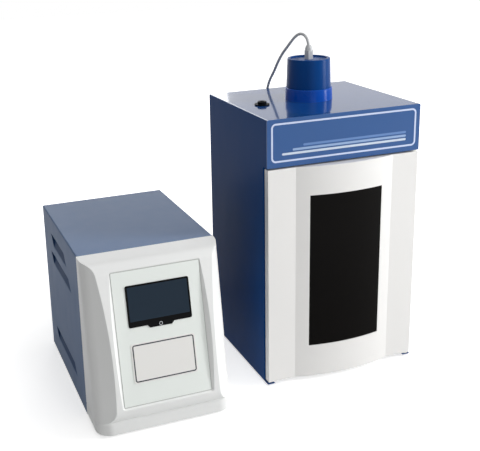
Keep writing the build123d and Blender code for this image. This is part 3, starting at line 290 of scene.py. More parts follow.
def new_group(name: str, takes: Sequence[tuple[str, str]],
              gives: Sequence[tuple[str, str]]) -> tuple[Tree, bpy.types.Node, bpy.types.Node]:
    """Makes an empty shader node group.

    Args:
        name: the group's name.
        takes: its inputs, as (name, socket type).
        gives: its outputs, as (name, socket type).

    Returns:
        The group's tree helper, its input node and its output node.
    """
    tree = bpy.data.node_groups.new(name, "ShaderNodeTree")
    for label, kind in takes:
        tree.interface.new_socket(label, in_out="INPUT", socket_type=kind)
    for label, kind in gives:
        tree.interface.new_socket(label, in_out="OUTPUT", socket_type=kind)
    return Tree(tree), tree.nodes.new("NodeGroupInput"), tree.nodes.new("NodeGroupOutput")


class SharedEffects:
    """Node groups that several finishes use, each built once."""

    def __init__(self) -> None:
        """Builds the groups."""
        self.surface = self._surface()
        self.outline = self._outline()

    @staticmethod
    def _surface() -> bpy.types.NodeTree:
        """Unevenness of a made surface: drift of colour, marks in the gloss and a fine grain.

        Returns:
            The group.
        """
        number, colour, vector = "NodeSocketFloat", "NodeSocketColor", "NodeSocketVector"
        tree, come, go = new_group(
            "Made surface",
            [("Place", vector), ("Colour", colour), ("Drift", number), ("Gloss", number),
             ("Marks", number), ("Grain Scale", number), ("Grain Height", number)],
            [("Colour", colour), ("Roughness", number), ("Height", number)],
        )
        given = come.outputs
        broad = tree.noise(given["Place"], DRIFT_SCALE, DRIFT_DETAIL)
        darker = tree.math("SUBTRACT", 1.0, tree.math("MULTIPLY", given["Drift"], broad))
        tinted = tree.node("ShaderNodeVectorMath", operation="SCALE")
        tree.link(given["Colour"], tinted.inputs[0])
        tree.link(darker, tinted.inputs["Scale"])
        handled = tree.vector("MULTIPLY", given["Place"], MARK_SQUEEZE)
        marks = tree.noise(handled, MARK_SCALE, MARK_DETAIL)
        spread = tree.math("MULTIPLY", given["Marks"], tree.ramp(marks, *MARK_RANGE))
        grain = tree.noise(given["Place"], given["Grain Scale"])
        tree.link(tinted.outputs[0], go.inputs["Colour"])
        tree.link(tree.math("ADD", given["Gloss"], spread), go.inputs["Roughness"])
        tree.link(tree.math("MULTIPLY", grain, given["Grain Height"]), go.inputs["Height"])
        return tree.tree

    @staticmethod
    def _outline() -> bpy.types.NodeTree:
        """A rounded rectangle on an upright face, printed or a painted shade line: its line, and
        all that lies inside it.

        Returns:
            The group.
        """
        number, vector = "NodeSocketFloat", "NodeSocketVector"
        tree, come, go = new_group(
            "Printed or shaded outline",
            [("Place", vector), ("Centre", vector), ("Half Size", vector), ("Corner", number),
             ("Line", number)],
            [("Line", number), ("Inside", number)],
        )
        given = come.outputs
        from_centre = tree.vector("SUBTRACT", given["Place"], given["Centre"])
        flat = tree.vector("MULTIPLY", from_centre, (1.0, 0.0, 1.0))
        corner = tree.node("ShaderNodeCombineXYZ")
        tree.link(given["Corner"], corner.inputs[0])
        tree.link(given["Corner"], corner.inputs[2])
        straight = tree.vector("SUBTRACT", given["Half Size"], corner.outputs[0])
        beyond = tree.vector("SUBTRACT", tree.vector("ABSOLUTE", flat), straight)
        outside = tree.length(tree.vector("MAXIMUM", beyond, (0.0, 0.0, 0.0)))
        across, _, up = tree.split(beyond)
        inward = tree.math("MINIMUM", tree.math("MAXIMUM", across, up), 0.0)
        distance = tree.math("SUBTRACT", tree.math("ADD", outside, inward), given["Corner"])
        half_line = tree.math("MULTIPLY", given["Line"], 0.5)
        off_line = tree.math("SUBTRACT", tree.math("ABSOLUTE", distance), half_line)
        for value, label in ((off_line, "Line"), (distance, "Inside")):
            tree.link(tree.ramp(value, -PRINT_EDGE, PRINT_EDGE, 1.0, 0.0), go.inputs[label])
        return tree.tree


@dataclass(frozen=True)
class LaidShape:
    """One printed rounded rectangle, or a painted shade line: a line, or a filled shape where the
    line is zero.
    """

    centre: tuple[float, float]
    half: tuple[float, float]
    corner: float
    colour: Colour
    line: float = 0.0

    def lay(self, tree: Tree, effects: SharedEffects, place: Feed, under: Feed) -> Feed:
        """Lays the printed shape or painted shade line over a colour.

        Args:
            tree: the material's tree.
            effects: the shared node groups.
            place: the coordinates it is read at.
            under: the colour below.

        Returns:
            The colour with the shape on it.
        """
        shape = tree.group(effects.outline, {
            "Place": place,
            "Centre": (self.centre[0], 0.0, self.centre[1]),
            "Half Size": (self.half[0], 0.0, self.half[1]),
            "Corner": self.corner,
            "Line": self.line,
        })
        return tree.mix(shape.outputs["Line" if self.line else "Inside"], under, self.colour)


@dataclass(frozen=True)
class PaintedRecessShade:
    """Painted shade: a darker colour on the faces set in from a case's two side faces and below
    its top, as in its louvres.
    """

    middle: float
    half: float
    top: float
    # The painted shade's colour.
    colour: Colour
    side_depths: tuple[float, float] = (0.0010, 0.0003)
    top_depths: tuple[float, float] = (0.012, 0.010)

    def shade(self, tree: Tree, place: Feed, under: Feed) -> Feed:
        """Lays the painted shade over the inner faces.

        Args:
            tree: the material's tree.
            place: the object coordinates.
            under: the colour of the outside.

        Returns:
            The mixed colour.
        """
        x, _, z = tree.split(place)
        across = tree.math("ABSOLUTE", tree.math("SUBTRACT", x, self.middle))
        inside = tree.ramp(across, *(self.half - depth for depth in self.side_depths), 1.0, 0.0)
        below = tree.ramp(z, *(self.top - depth for depth in self.top_depths), 1.0, 0.0)
        return tree.mix(tree.math("MULTIPLY", inside, below), under, self.colour)


@dataclass(frozen=True)
class Finish:
    """One finish: the surface a maker would order, with any painted shade or sheen laid on it."""

    name: str
    colour: Colour
    gloss: float = 0.4
    metal: float = 0.0
    coat: float = 0.0
    drift: float = 0.05
    marks: float = 0.06
    grain_scale: float = 900.0
    grain_height: float = 0.02
    brushed: Optional[Axis] = None
    clear: float = 0.0
    specular: float = 0.5
    # Painted sheen: the coat's weight on faces that look up.
    top_sheen_coat: float = 0.0
    # Printed shapes, and painted shade lines.
    laid_shapes: tuple[LaidShape, ...] = ()
    lean: float = 0.0
    speckle: Optional[Colour] = None
    # Painted shade on the faces set in from the sides and below the top, as in louvres.
    painted_recess_shade: Optional[PaintedRecessShade] = None

    def material(self, effects: SharedEffects) -> bpy.types.Material:
        """Builds the finish's material.

        Args:
            effects: the shared node groups.

        Returns:
            The material.
        """
        made = bpy.data.materials.new(self.name)
        made.use_nodes = True
        made.diffuse_color = (*self.colour, 1.0)
        tree = Tree(made.node_tree)
        shader = made.node_tree.nodes["Principled BSDF"]
        place = tree.node("ShaderNodeTexCoord").outputs["Object"]
        surface = tree.group(effects.surface, {
            "Place": self._stretched(tree, place),
            "Colour": self._coloured(tree, effects, place),
            "Drift": self.drift,
            "Gloss": self.gloss,
            "Marks": self.marks,
            "Grain Scale": self.grain_scale,
            "Grain Height": self.grain_height,
        })
        bump = tree.node("ShaderNodeBump")
        bump.inputs["Strength"].default_value = BUMP_STRENGTH
        bump.inputs["Distance"].default_value = BUMP_DEPTH
        tree.link(surface.outputs["Height"], bump.inputs["Height"])
        for label, value in (
            ("Base Color", surface.outputs["Colour"]),
            ("Roughness", surface.outputs["Roughness"]),
            ("Normal", bump.outputs["Normal"]),
            ("Metallic", self.metal),
            ("Specular IOR Level", self.specular),
            ("Coat Weight", self._top_sheen(tree) if self.top_sheen_coat else self.coat),
            ("Coat Roughness", COAT_ROUGHNESS),
            ("Transmission Weight", self.clear),
        ):
            tree.link(value, shader.inputs[label])
        return made

    def _coloured(self, tree: Tree, effects: SharedEffects, place: Feed) -> Feed:
        """The finish's colour with its speckle, its painted shade in recesses, and its printed
        shapes and painted shade lines.

        Args:
            tree: the material's tree.
            effects: the shared node groups.
            place: the object coordinates.

        Returns:
            The colour, as a value where it is the same all over.
        """
        colour: Feed = (*self.colour, 1.0)
        if self.speckle:
            dots = tree.ramp(tree.noise(place, SPECKLE_SCALE, SPECKLE_DETAIL), *SPECKLE_RANGE)
            colour = tree.mix(tree.math("MULTIPLY", dots, SPECKLE_SHARE), colour, self.speckle)
        if self.painted_recess_shade:
            colour = self.painted_recess_shade.shade(tree, place, colour)
        turned = self._turned(tree, place)
        for shape in self.laid_shapes:
            colour = shape.lay(tree, effects, turned, colour)
        return colour

    def _top_sheen(self, tree: Tree) -> Feed:
        """The coat's weight, which changes to the painted sheen's weight where a face looks up,
        so tops reflect more and read lighter.

        Args:
            tree: the material's tree.

        Returns:
            The weight's socket.
        """
        upward = tree.split(tree.node("ShaderNodeTexCoord").outputs["Normal"])[2]
        return tree.ramp(upward, *TOP_SHEEN_RANGE, self.coat, self.top_sheen_coat)

    def _turned(self, tree: Tree, place: Feed) -> Feed:
        """Object coordinates turned so that a leaning panel stands upright.

        Args:
            tree: the material's tree.
            place: the object coordinates.

        Returns:
            The turned coordinates, or the same ones where nothing leans.
        """
        if not self.lean:
            return place
        mapping = tree.node("ShaderNodeMapping")
        mapping.inputs["Rotation"].default_value = (self.lean, 0.0, 0.0)
        tree.link(place, mapping.inputs["Vector"])
        return mapping.outputs[0]

    def _stretched(self, tree: Tree, place: Feed) -> Feed:
        """Object coordinates squeezed along a brushed direction, so that its grain runs in lines.

        Args:
            tree: the material's tree.
            place: the object coordinates.

        Returns:
            The coordinates to read the grain at.
        """
        if self.brushed is None:
            return place
        scale = [1.0, 1.0, 1.0]
        scale[self.brushed.value] = BRUSHED_SQUEEZE
        return tree.vector("MULTIPLY", place, tuple(scale))


RUBBER = Finish("Black rubber", srgb(34, 34, 35), gloss=0.7, grain_height=0.2)


class Wardrobe:
    """Makes each finish's material once, and puts it on CAD nodes and new pieces."""

    def __init__(self) -> None:
        """Starts with no materials made."""
        self.effects = SharedEffects()
        self.made: dict[str, bpy.types.Material] = {}

    def material(self, finish: Finish) -> bpy.types.Material:
        """Gives a finish's material, and builds it on first use.

        Args:
            finish: the finish.

        Returns:
            The material.
        """
        if finish.name not in self.made:
            self.made[finish.name] = finish.material(self.effects)
        return self.made[finish.name]

    def dress(self, finish: Finish, *nodes: str) -> None:
        """Puts a finish on CAD nodes.

        Args:
            finish: the finish.
            nodes: the nodes' names.
        """
        for name in nodes:
            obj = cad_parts[name]
            if not obj.material_slots:
                obj.data.materials.append(None)
            for slot in obj.material_slots:
                slot.material = self.material(finish)
            LOG.info("%s: %s", name, finish.name)

    def cover(self, obj: bpy.types.Object, finish: Finish) -> None:
        """Puts a finish on a new piece.

        Args:
            obj: the piece.
            finish: the finish.
        """
        obj.data.materials.clear()
        obj.data.materials.append(self.material(finish))
        LOG.info("%s: %s", obj.name, finish.name)


def only(obj: bpy.types.Object) -> bpy.types.Object:
    """Selects one object and makes it active.

    Args:
        obj: the object.

    Returns:
        The same object.
    """
    bpy.ops.object.select_all(action="DESELECT")
    obj.select_set(True)
    bpy.context.view_layer.objects.active = obj
    return obj


def slab(name: str, low: Point, high: Point) -> bpy.types.Object:
    """A cube primitive brought to a box's size and place, with the object left at the origin.

    Args:
        name: the new object's name.
        low: the box's lowest corner.
        high: its highest corner.

    Returns:
        The new object.
    """
    bpy.ops.object.select_all(action="DESELECT")
    centre = [(a + b) / 2 for a, b in zip(low, high)]
    size = [b - a for a, b in zip(low, high)]
    bpy.ops.mesh.primitive_cube_add(size=1.0, location=centre, scale=size)
    obj = only(bpy.context.object)
    obj.name = name
    bpy.ops.object.transform_apply(location=True, rotation=True, scale=True)
    return obj


def pick_faces(obj: bpy.types.Object, normal: Point) -> None:
    """Selects, in edit mode, the faces that look one way.

    Args:
        obj: the object, in edit mode.
        normal: the way they look.
    """
    bpy.ops.mesh.select_all(action="DESELECT")
    bpy.ops.object.mode_set(mode="OBJECT")
    for polygon in obj.data.polygons:
        polygon.select = polygon.normal.dot(Vector(normal)) > LOOKS_ALONG
    bpy.ops.object.mode_set(mode="EDIT")


@dataclass
class ConverterCable:
    """The cable from the converter's gland, down behind the chamber and along the floor."""

    diameter: float = 0.0055
    length: float = 1.21
    route: tuple[Point, ...] = CABLE_ROUTE
    rings: int = 6
    steps: int = 10
    jacket: Finish = Finish("Light grey jacket", srgb(192, 194, 196), gloss=0.45,
                            grain_height=0.1)

    def spline(self, bevel: float) -> bpy.types.Object:
        """The route as a NURBS curve object.

        Args:
            bevel: the tube's radius, or zero for the line alone.

        Returns:
            The curve object.
        """
        data = bpy.data.curves.new("cable_route", "CURVE")
        data.dimensions = "3D"
        data.bevel_depth = bevel
        data.bevel_resolution = self.rings
        data.use_fill_caps = True
        line = data.splines.new("NURBS")
        line.points.add(len(self.route) - 1)
        for point, place in zip(line.points, self.route):
            point.co = (*place, 1.0)
        line.order_u = 3
        line.use_endpoint_u = True
        line.resolution_u = self.steps
        obj = bpy.data.objects.new("cable_route", data)
        bpy.context.scene.collection.objects.link(obj)
        return obj

    def build(self, wardrobe: Wardrobe) -> None:
        """Makes the cable as a tube along its route, in place of the CAD cable.

        Args:
            wardrobe: puts the finish on.
        """
        bare = self.spline(0.0)
        sampled = bpy.data.meshes.new_from_object(bare)
        bpy.data.objects.remove(bare)
        bpy.data.meshes.remove(sampled)
        only(self.spline(self.diameter / 2))
        bpy.ops.object.convert(target="MESH")
        tube = bpy.context.object
        tube.name = "converter_cable_jacket"
        bpy.ops.object.shade_smooth()
        wardrobe.cover(tube, self.jacket)
        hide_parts("converter_cable")
        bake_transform(tube)


@dataclass
class FoamLining:
    """Convoluted foam sheets on the chamber's walls and ceiling."""

    thickness: float = 0.020
    cell: float = 0.024
    cell_length: float = 1.3
    ridge: float = 0.005
    pit: float = 0.009
    soft_angle: float = math.radians(50)
    nut_radius: float = 0.0468
    grommet_radius: float = 0.0118
    cutter_sides: int = 48
    cutter_depth: float = 0.2
    foam: Finish = Finish("Open-cell foam", srgb(92, 92, 96), gloss=0.95, grain_scale=1600.0,
                          grain_height=1.2, drift=0.3, speckle=srgb(36, 36, 38))

    def sheet(self, name: str, low: Point, high: Point, face: Point) -> bpy.types.Object:
        """One foam sheet with rows of pits on the face that looks into the chamber.

        Args:
            name: the piece's name.
            low: its lowest corner.
            high: its highest corner.
            face: the way its pitted face looks.

        Returns:
            The sheet.
        """
        obj = slab(name, low, high)
        across = [b - a for a, b, way in zip(low, high, face) if not way]
        cuts = max(2, round(max(across) / self.cell / self.cell_length))
        bpy.ops.object.mode_set(mode="EDIT")
        pick_faces(obj, face)
        bpy.ops.mesh.subdivide(number_cuts=cuts)
        pick_faces(obj, face)
        bpy.ops.mesh.inset(thickness=self.ridge, depth=-self.pit, use_individual=True)
        bpy.ops.object.mode_set(mode="OBJECT")
        bpy.ops.object.shade_smooth_by_angle(angle=self.soft_angle)
        return obj

    def bore(self, obj: bpy.types.Object, x: float, y: float, radius: float) -> None:
        """Cuts an upright round hole through a sheet.

        Args:
            obj: the sheet.
            x: the hole's place across.
            y: the hole's place back.
            radius: its radius.
        """
        place = (x, y, obj.bound_box[0][2])
        bpy.ops.object.select_all(action="DESELECT")
        bpy.ops.mesh.primitive_cylinder_add(vertices=self.cutter_sides, radius=radius,
                                            depth=self.cutter_depth, location=place)
        cutter = bpy.context.object
        only(obj)
        cut = obj.modifiers.new("hole", "BOOLEAN")
        cut.operation = "DIFFERENCE"
        cut.solver = "EXACT"
        cut.object = cutter
        bpy.ops.object.modifier_apply(modifier=cut.name)
        bpy.data.objects.remove(cutter)

    def build(self, wardrobe: Wardrobe) -> None:
        """Makes the four sheets in place of the plain solids.

        Args:
            wardrobe: puts the finish on.
        """
        (x0, y0, z0), (x1, y1, z1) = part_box("foam_sides")
        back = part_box("foam_back")
        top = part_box("foam_top")
        left_face, right_face = x0 + self.thickness, x1 - self.thickness
        left = self.sheet("foam_left_sheet", (x0, y0, z0), (left_face, y1, z1), (1, 0, 0))
        right = self.sheet("foam_right_sheet", (right_face, y0, z0), (x1, y1, z1), (-1, 0, 0))
        rear = self.sheet("foam_back_sheet", tuple(back[0]), tuple(back[1]), (0, -1, 0))
        ceiling = self.sheet("foam_top_sheet", tuple(top[0]), tuple(top[1]), (0, 0, -1))
        collar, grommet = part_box("collar_nut"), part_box("probe_grommet")
        for hole, radius in ((collar, self.nut_radius), (grommet, self.grommet_radius)):
            middle = (hole[0] + hole[1]) / 2
            self.bore(ceiling, middle[0], middle[1], radius)
        sheets = ((left, "foam_sides"), (right, "foam_sides"), (rear, "foam_back"),
                  (ceiling, "foam_top"))
        for obj, node in sheets:
            wardrobe.cover(obj, self.foam)
            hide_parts(node)
            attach(obj, "base")


@dataclass
class Chamber:
    """The sound-damped chamber: casing, header and its print, base, feet and fittings."""

    left: float = 0.014
    width: float = 0.300
    header_low: float = 0.412
    header_high: float = 0.496
    print_rise: float = 0.001
    outline_inset: float = 0.0095
    outline_half_height: float = 0.0325
    band_half_length: float = 0.122
    band_half_height: float = 0.0020
    band_drop: float = 0.0205
    band_pitch: float = 0.0065
    band_step: float = 0.010
    # Painted sheen: a full coat only on faces that look up, so the top reads lighter.
    casing: Finish = Finish("Navy casing enamel", srgb(14, 66, 126), gloss=0.36, specular=0.02,
                            grain_height=0.02, grain_scale=700.0, top_sheen_coat=1.0, marks=0.04)
    rubber: Finish = RUBBER
    mat: Finish = Finish("Ribbed floor mat", srgb(62, 63, 66), gloss=0.75, grain_height=0.4,
                         brushed=Axis.X)
    grommet: Finish = Finish("Black grommet", srgb(12, 14, 18), gloss=0.35, grain_height=0.1,
                             specular=0.03)
    zinc: Finish = Finish("Zinc-plated steel", srgb(150, 150, 145), gloss=0.34, metal=1.0,
                          brushed=Axis.X)
    collar: Finish = Finish("Bright blue collar", srgb(1, 76, 176), gloss=0.22, specular=0.14,
                            drift=0.1)

    def header(self) -> Finish:
        """The header's blue paint with its pale outline and a plain band of stripes.

        Returns:
            The finish.
        """
        x = self.left + self.width / 2
        z = (self.header_low + self.header_high) / 2 + self.print_rise
        half = (self.width / 2 - self.outline_inset, self.outline_half_height)
        outline = LaidShape((x, z), half, corner=0.007, colour=srgb(205, 216, 242), line=0.0032)
        tones = (srgb(206, 217, 232), srgb(150, 176, 214), srgb(102, 136, 190))
        bands = tuple(
            LaidShape(
                (x + self.band_step * step, z - self.band_drop + self.band_pitch * step),
                (self.band_half_length - self.band_step * step, self.band_half_height),
                corner=self.band_half_height,
                colour=tone,
            )
            for step, tone in enumerate(tones)
        )
        return Finish("Blue header paint", srgb(52, 90, 146), gloss=0.28, specular=0.25,
                      laid_shapes=(outline, *bands))

    def dress(self, wardrobe: Wardrobe) -> None:
        """Puts the chamber's finishes on.

        Args:
            wardrobe: holds the materials.
        """
        wardrobe.dress(self.casing, "chamber_shell", "chamber_base", "chamber_back")
        wardrobe.dress(self.header(), "header_panel")
        wardrobe.dress(self.rubber, "chamber_feet", "door_seal")
        wardrobe.dress(self.mat, "floor_mat")
        wardrobe.dress(self.grommet, "probe_grommet")
        wardrobe.dress(self.zinc, "hinge_pins", "chamber_screws", "door_magnets")
        wardrobe.dress(self.collar, "converter_collar", "collar_nut")


@dataclass
class Door:
    """The bulged door with its curved, dark window."""

    paint: Finish = Finish("Off-white door paint", srgb(232, 231, 229), gloss=0.3, coat=0.1,
                           drift=0.02)
    reveal: Finish = Finish("White window reveal", srgb(236, 236, 233), gloss=0.35, drift=0.02)
    smoked: Finish = Finish("Smoked acrylic", srgb(7, 5, 4), gloss=0.05, drift=0.02, marks=0.03,
                            grain_height=0.0, clear=0.05, specular=0.02)
    acetal: Finish = Finish("Natural acetal", srgb(226, 226, 218), gloss=0.4)

    def dress(self, wardrobe: Wardrobe) -> None:
        """Puts the door's finishes on.

        Args:
            wardrobe: holds the materials.
        """
        wardrobe.dress(self.paint, "door_skin", "door_liner")
        wardrobe.dress(self.reveal, "window_reveal")
        wardrobe.dress(self.smoked, "door_window")
        wardrobe.dress(self.acetal, "door_bushes")


@dataclass
class Converter:
    """The converter under its blue cap, with the stack, horn and tip inside the chamber."""

    cap: Finish = Finish("Royal blue cap", srgb(1, 64, 130), gloss=0.28, specular=0.08,
                         drift=0.12, grain_height=0.12, grain_scale=420.0)
    gland: Finish = Finish("Light grey nylon", srgb(196, 198, 200), gloss=0.42)
    steel: Finish = Finish("Turned stainless steel", srgb(176, 178, 181), gloss=0.22, metal=1.0,
                           brushed=Axis.X)
    titanium: Finish = Finish("Turned titanium", srgb(168, 166, 164), gloss=0.3, metal=1.0,
                              brushed=Axis.X)
    aluminium: Finish = Finish("Machined aluminium", srgb(188, 190, 193), gloss=0.35, metal=1.0,
                               brushed=Axis.X)
    ceramic: Finish = Finish("Fired ceramic", srgb(206, 196, 168), gloss=0.5, drift=0.1)
    brass: Finish = Finish("Brass electrodes", srgb(208, 172, 96), gloss=0.3, metal=1.0)

    def dress(self, wardrobe: Wardrobe) -> None:
        """Puts the converter's finishes on.

        Args:
            wardrobe: holds the materials.
        """
        wardrobe.dress(self.cap, "converter_cap")
        wardrobe.dress(self.gland, "gland_body", "gland_nut")
        wardrobe.dress(self.steel, "converter_sleeve", "back_mass", "prestress_bolt")
        wardrobe.dress(self.titanium, "horn", "probe_tip")
        wardrobe.dress(self.aluminium, "front_mass")
        wardrobe.dress(self.ceramic, "piezo_rings")
        wardrobe.dress(self.brass, "electrodes")


@dataclass
class SampleStand:
    """The stand and platform under the tip."""

    steel: Finish = Finish("Polished stand steel", srgb(198, 199, 201), gloss=0.2, metal=1.0,
                           brushed=Axis.Y)
    aluminium: Finish = Finish("Anodised platform", srgb(196, 199, 203), gloss=0.4, metal=1.0)
    knob: Finish = Finish("Black knob", srgb(28, 28, 30), gloss=0.4, grain_height=0.1)

    def dress(self, wardrobe: Wardrobe) -> None:
        """Puts the stand's finishes on.

        Args:
            wardrobe: holds the materials.
        """
        wardrobe.dress(self.steel, "stand_base", "stand_post")
        wardrobe.dress(self.aluminium, "platform_arm", "sample_platform")
        wardrobe.dress(self.knob, "clamp_knob")


@dataclass
class Generator:
    """The generator: case, leaning front with its sunk panel, rear and insides.

    The panel, screen and plate fields are measured up the leaning panel: the panel's width and
    height, and the lowest edge and height of the other two.
    """

    middle: float = -0.19375
    lean: float = math.radians(12.5)
    panel_foot: float = 0.012077
    panel: tuple[float, float] = (0.1536, 0.225)
    gap_shade_inset: float = 0.0006
    screen: tuple[float, float] = (0.130, 0.0695)
    display_half: tuple[float, float] = (0.0516, 0.0286)
    display_rise: float = 0.0034
    touch_mark_radius: float = 0.0026
    touch_mark_drop: float = 0.0352
    plate: tuple[float, float] = (0.0365, 0.0665)
    plate_line_half: tuple[float, float] = (0.0522, 0.0302)
    case: Finish = Finish("Slate blue case enamel", srgb(92, 116, 152), gloss=0.42, specular=0.03,
                          # Painted sheen: a thin coat only on faces that look up.
                          top_sheen_coat=0.07, grain_height=0.03,
                          # Painted shade: a darker blue on the louvres' inner faces.
                          painted_recess_shade=PaintedRecessShade(middle=-0.19375, half=0.12025, top=0.2955,
                                        colour=srgb(50, 78, 120)))
    moulding: Finish = Finish("Satin white moulding", srgb(236, 237, 236), gloss=0.36, drift=0.02,
                              specular=0.3)
    zinc: Finish = Finish("Zinc-plated chassis", srgb(176, 177, 172), gloss=0.36, metal=1.0,
                          brushed=Axis.Y)
    black: Finish = Finish("Moulded black", srgb(28, 28, 30), gloss=0.45, grain_height=0.12)
    laminate: Finish = Finish("Green board", srgb(22, 92, 54), gloss=0.3, drift=0.2,
                              speckle=srgb(150, 150, 130))
    iron: Finish = Finish("Varnished laminations", srgb(84, 70, 58), gloss=0.45, brushed=Axis.X,
                          grain_height=0.6)
    aluminium: Finish = Finish("Extruded aluminium", srgb(190, 192, 194), gloss=0.38, metal=1.0,
                               brushed=Axis.Y)
    steel: Finish = Finish("Bright steel", srgb(164, 164, 162), gloss=0.25, metal=1.0)
    plug: Finish = Finish("Black plug", srgb(32, 33, 35), gloss=0.5, grain_height=0.15)
    rubber: Finish = RUBBER

    def rise(self, field: tuple[float, float]) -> float:
        """The height of a panel field's middle, in the leaning panel's own coordinates."""
        return self.panel_foot + field[0] + field[1] / 2

    def overlay(self) -> Finish:
        """The panel's printed film, with a painted shade line round its edge for the shadow gap
        there.

        Returns:
            The finish.
        """
        half = tuple(side / 2 - self.gap_shade_inset for side in self.panel)
        # Painted shadow: a thin grey line round the film's edge for the dark gap round it.
        painted_gap_shade = LaidShape((self.middle, self.rise((0.0, self.panel[1]))), half, corner=0.0015,
                       colour=srgb(168, 171, 168), line=0.0008)
        return Finish("Pale overlay film", srgb(234, 239, 235), gloss=0.42, lean=self.lean,
                      drift=0.03, laid_shapes=(painted_gap_shade,))

    def glass(self) -> Finish:
        """The screen's black glass, with the display and a plain touch mark below it.

        Returns:
            The finish.
        """
        height = self.rise(self.screen)
        display = LaidShape((self.middle, height + self.display_rise), self.display_half,
                        corner=0.0008, colour=srgb(37, 50, 63))
        ring = LaidShape((self.middle, height - self.touch_mark_drop),
                     (self.touch_mark_radius, self.touch_mark_radius),
                     corner=self.touch_mark_radius, colour=srgb(216, 220, 224), line=0.0008)
        return Finish("Screen glass", srgb(6, 7, 9), gloss=0.08, specular=0.08, lean=self.lean,
                      drift=0.1, marks=0.05, grain_height=0.0, laid_shapes=(display, ring))

    def blank(self) -> Finish:
        """The plain plate with its dark outline.

        Returns:
            The finish.
        """
        outline = LaidShape((self.middle, self.rise(self.plate)), self.plate_line_half, corner=0.003,
                        colour=srgb(22, 28, 38), line=0.0021)
        return Finish("Bare plate", srgb(233, 232, 229), gloss=0.36, lean=self.lean, drift=0.03,
                      laid_shapes=(outline,))

    def dress(self, wardrobe: Wardrobe) -> None:
        """Puts the generator's finishes on.

        Args:
            wardrobe: holds the materials.
        """
        rear = replace(self.case, name="Slate blue rear enamel", painted_recess_shade=None)
        wardrobe.dress(self.case, "generator_case")
        wardrobe.dress(rear, "rear_panel")
        wardrobe.dress(self.moulding, "front_bezel")
        wardrobe.dress(self.overlay(), "front_overlay")
        wardrobe.dress(self.glass(), "touch_screen")
        wardrobe.dress(self.blank(), "blank_plate")
        wardrobe.dress(self.zinc, "generator_chassis")
        wardrobe.dress(self.black, "fan_frame", "fan_rotor", "mains_inlet", "fuse_drawer",
                       "switch_body", "power_rocker", "output_socket", "sensor_socket")
        wardrobe.dress(self.plug, "cable_plug")
        wardrobe.dress(self.laminate, "main_board")
        wardrobe.dress(self.iron, "mains_transformer")
        wardrobe.dress(self.aluminium, "heatsink")
        wardrobe.dress(self.steel, "fan_guard", "generator_screws")
        wardrobe.dress(self.rubber, "generator_feet")


@dataclass(frozen=True)
class SoftLight:
    """One large area lamp, with its width and height."""

    name: str
    place: Point
    target: Point
    size: tuple[float, float]
    power: float

    def build(self) -> None:
        """Adds the lamp, turned to its target."""
        data = bpy.data.lights.new(self.name, "AREA")
        data.shape = "RECTANGLE"
        data.size, data.size_y = self.size
        data.energy = self.power
        lamp = bpy.data.objects.new(self.name, data)
        lamp.location = self.place
        towards = Vector(self.target) - Vector(self.place)
        lamp.rotation_euler = towards.to_track_quat("-Z", "Y").to_euler()
        bpy.context.scene.collection.objects.link(lamp)


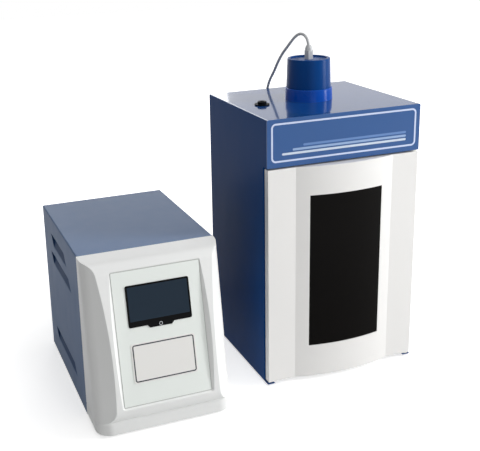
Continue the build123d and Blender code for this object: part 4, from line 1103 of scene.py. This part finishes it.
@dataclass
class Studio:
    """Camera, floor, world and lamps."""

    camera_place: Point = (-0.56576, -1.39356, 0.80649)
    camera_turn: Point = (73.594716, 1.544404, -20.548906)
    lens: float = 63.7254
    sensor: float = 36.0
    shift: tuple[float, float] = (0.083333, -0.1)
    clip: tuple[float, float] = (0.05, 60.0)
    floor_size: float = 14.0
    paper_colour: Colour = (0.8, 0.8, 0.8)
    paper_roughness: float = 0.8
    paper_specular: float = 0.1
    # Painted glow on the floor: the distances over which it rises to full white, and its strength
    # near the object.
    paper_near: float = 0.35
    paper_far: float = 1.0
    paper_glow: float = 0.6
    ambient: float = 0.12
    lamps: tuple[SoftLight, ...] = (
        SoftLight("key_light", (2.6, -1.2, 1.2), (0.0, 0.0, 0.3), (0.6, 2.2), 76.0),
        SoftLight("front_light", (-0.1, -3.0, 1.4), (0.0, 0.0, 0.25), (1.6, 1.6), 22.0),
        SoftLight("top_light", (0.1, -0.3, 2.9), (0.0, 0.0, 0.2), (1.6, 1.6), 22.0),
        SoftLight("back_light", (0.4, 3.2, 1.5), (0.0, 0.0, 0.25), (1.8, 1.8), 26.0),
    )

    def camera(self) -> None:
        """Adds the camera at the photograph's viewing angle."""
        data = bpy.data.cameras.new("camera")
        data.sensor_fit = "HORIZONTAL"
        data.sensor_width = self.sensor
        data.lens = self.lens
        data.shift_x, data.shift_y = self.shift
        data.clip_start, data.clip_end = self.clip
        obj = bpy.data.objects.new("camera", data)
        obj.location = self.camera_place
        obj.rotation_euler = [math.radians(angle) for angle in self.camera_turn]
        bpy.context.scene.collection.objects.link(obj)
        bpy.context.scene.camera = obj

    def world(self) -> None:
        """Gives soft light from all round, and white to rays that see past the floor."""
        world = bpy.data.worlds.new("studio")
        bpy.context.scene.world = world
        world.use_nodes = True
        tree = Tree(world.node_tree)
        background = world.node_tree.nodes["Background"]
        background.inputs["Color"].default_value = WHITE
        strength = tree.ramp(tree.looked_at(), 0.0, 1.0, self.ambient, 1.0)
        tree.link(strength, background.inputs["Strength"])

    def floor(self) -> None:
        """Lays a pale floor that keeps the shadow."""
        bpy.ops.object.select_all(action="DESELECT")
        bpy.ops.mesh.primitive_plane_add(size=self.floor_size, location=(0.0, 0.0, 0.0))
        obj = bpy.context.object
        obj.name = "floor"
        obj.data.materials.append(self.paper())

    def paper(self) -> bpy.types.Material:
        """White paper with a painted glow, weaker near the object where the real shadow shows and
        full white further out, so it runs into the white background.

        Returns:
            The floor's material.
        """
        made = bpy.data.materials.new("White paper")
        made.use_nodes = True
        tree = Tree(made.node_tree)
        shader = made.node_tree.nodes["Principled BSDF"]
        distance = tree.length(tree.node("ShaderNodeTexCoord").outputs["Object"])
        # Painted light: the floor glows for camera, gloss and glass rays, less near the object.
        painted_glow = tree.ramp(distance, self.paper_near, self.paper_far, self.paper_glow, 1.0)
        for label, value in (
            ("Base Color", (*self.paper_colour, 1.0)),
            ("Roughness", self.paper_roughness),
            ("Specular IOR Level", self.paper_specular),
            ("Emission Color", WHITE),
            ("Emission Strength", tree.math("MULTIPLY", painted_glow, tree.looked_at())),
        ):
            tree.link(value, shader.inputs[label])
        return made

    def build(self) -> None:
        """Builds the studio."""
        bpy.context.scene.view_settings.view_transform = "Standard"
        self.camera()
        self.world()
        self.floor()
        for lamp in self.lamps:
            lamp.build()


def main() -> None:
    """Builds each sub-assembly in order."""
    logging.basicConfig(level=logging.INFO, format="%(name)s %(message)s")
    Studio().build()
    wardrobe = Wardrobe()
    for part in (ConverterCable(), FoamLining()):
        part.build(wardrobe)
        LOG.info("%s built", type(part).__name__)
    for part in (Chamber(), Door(), Converter(), SampleStand(), Generator()):
        part.dress(wardrobe)
        LOG.info("%s dressed", type(part).__name__)


if __name__ == "__main__":
    main()
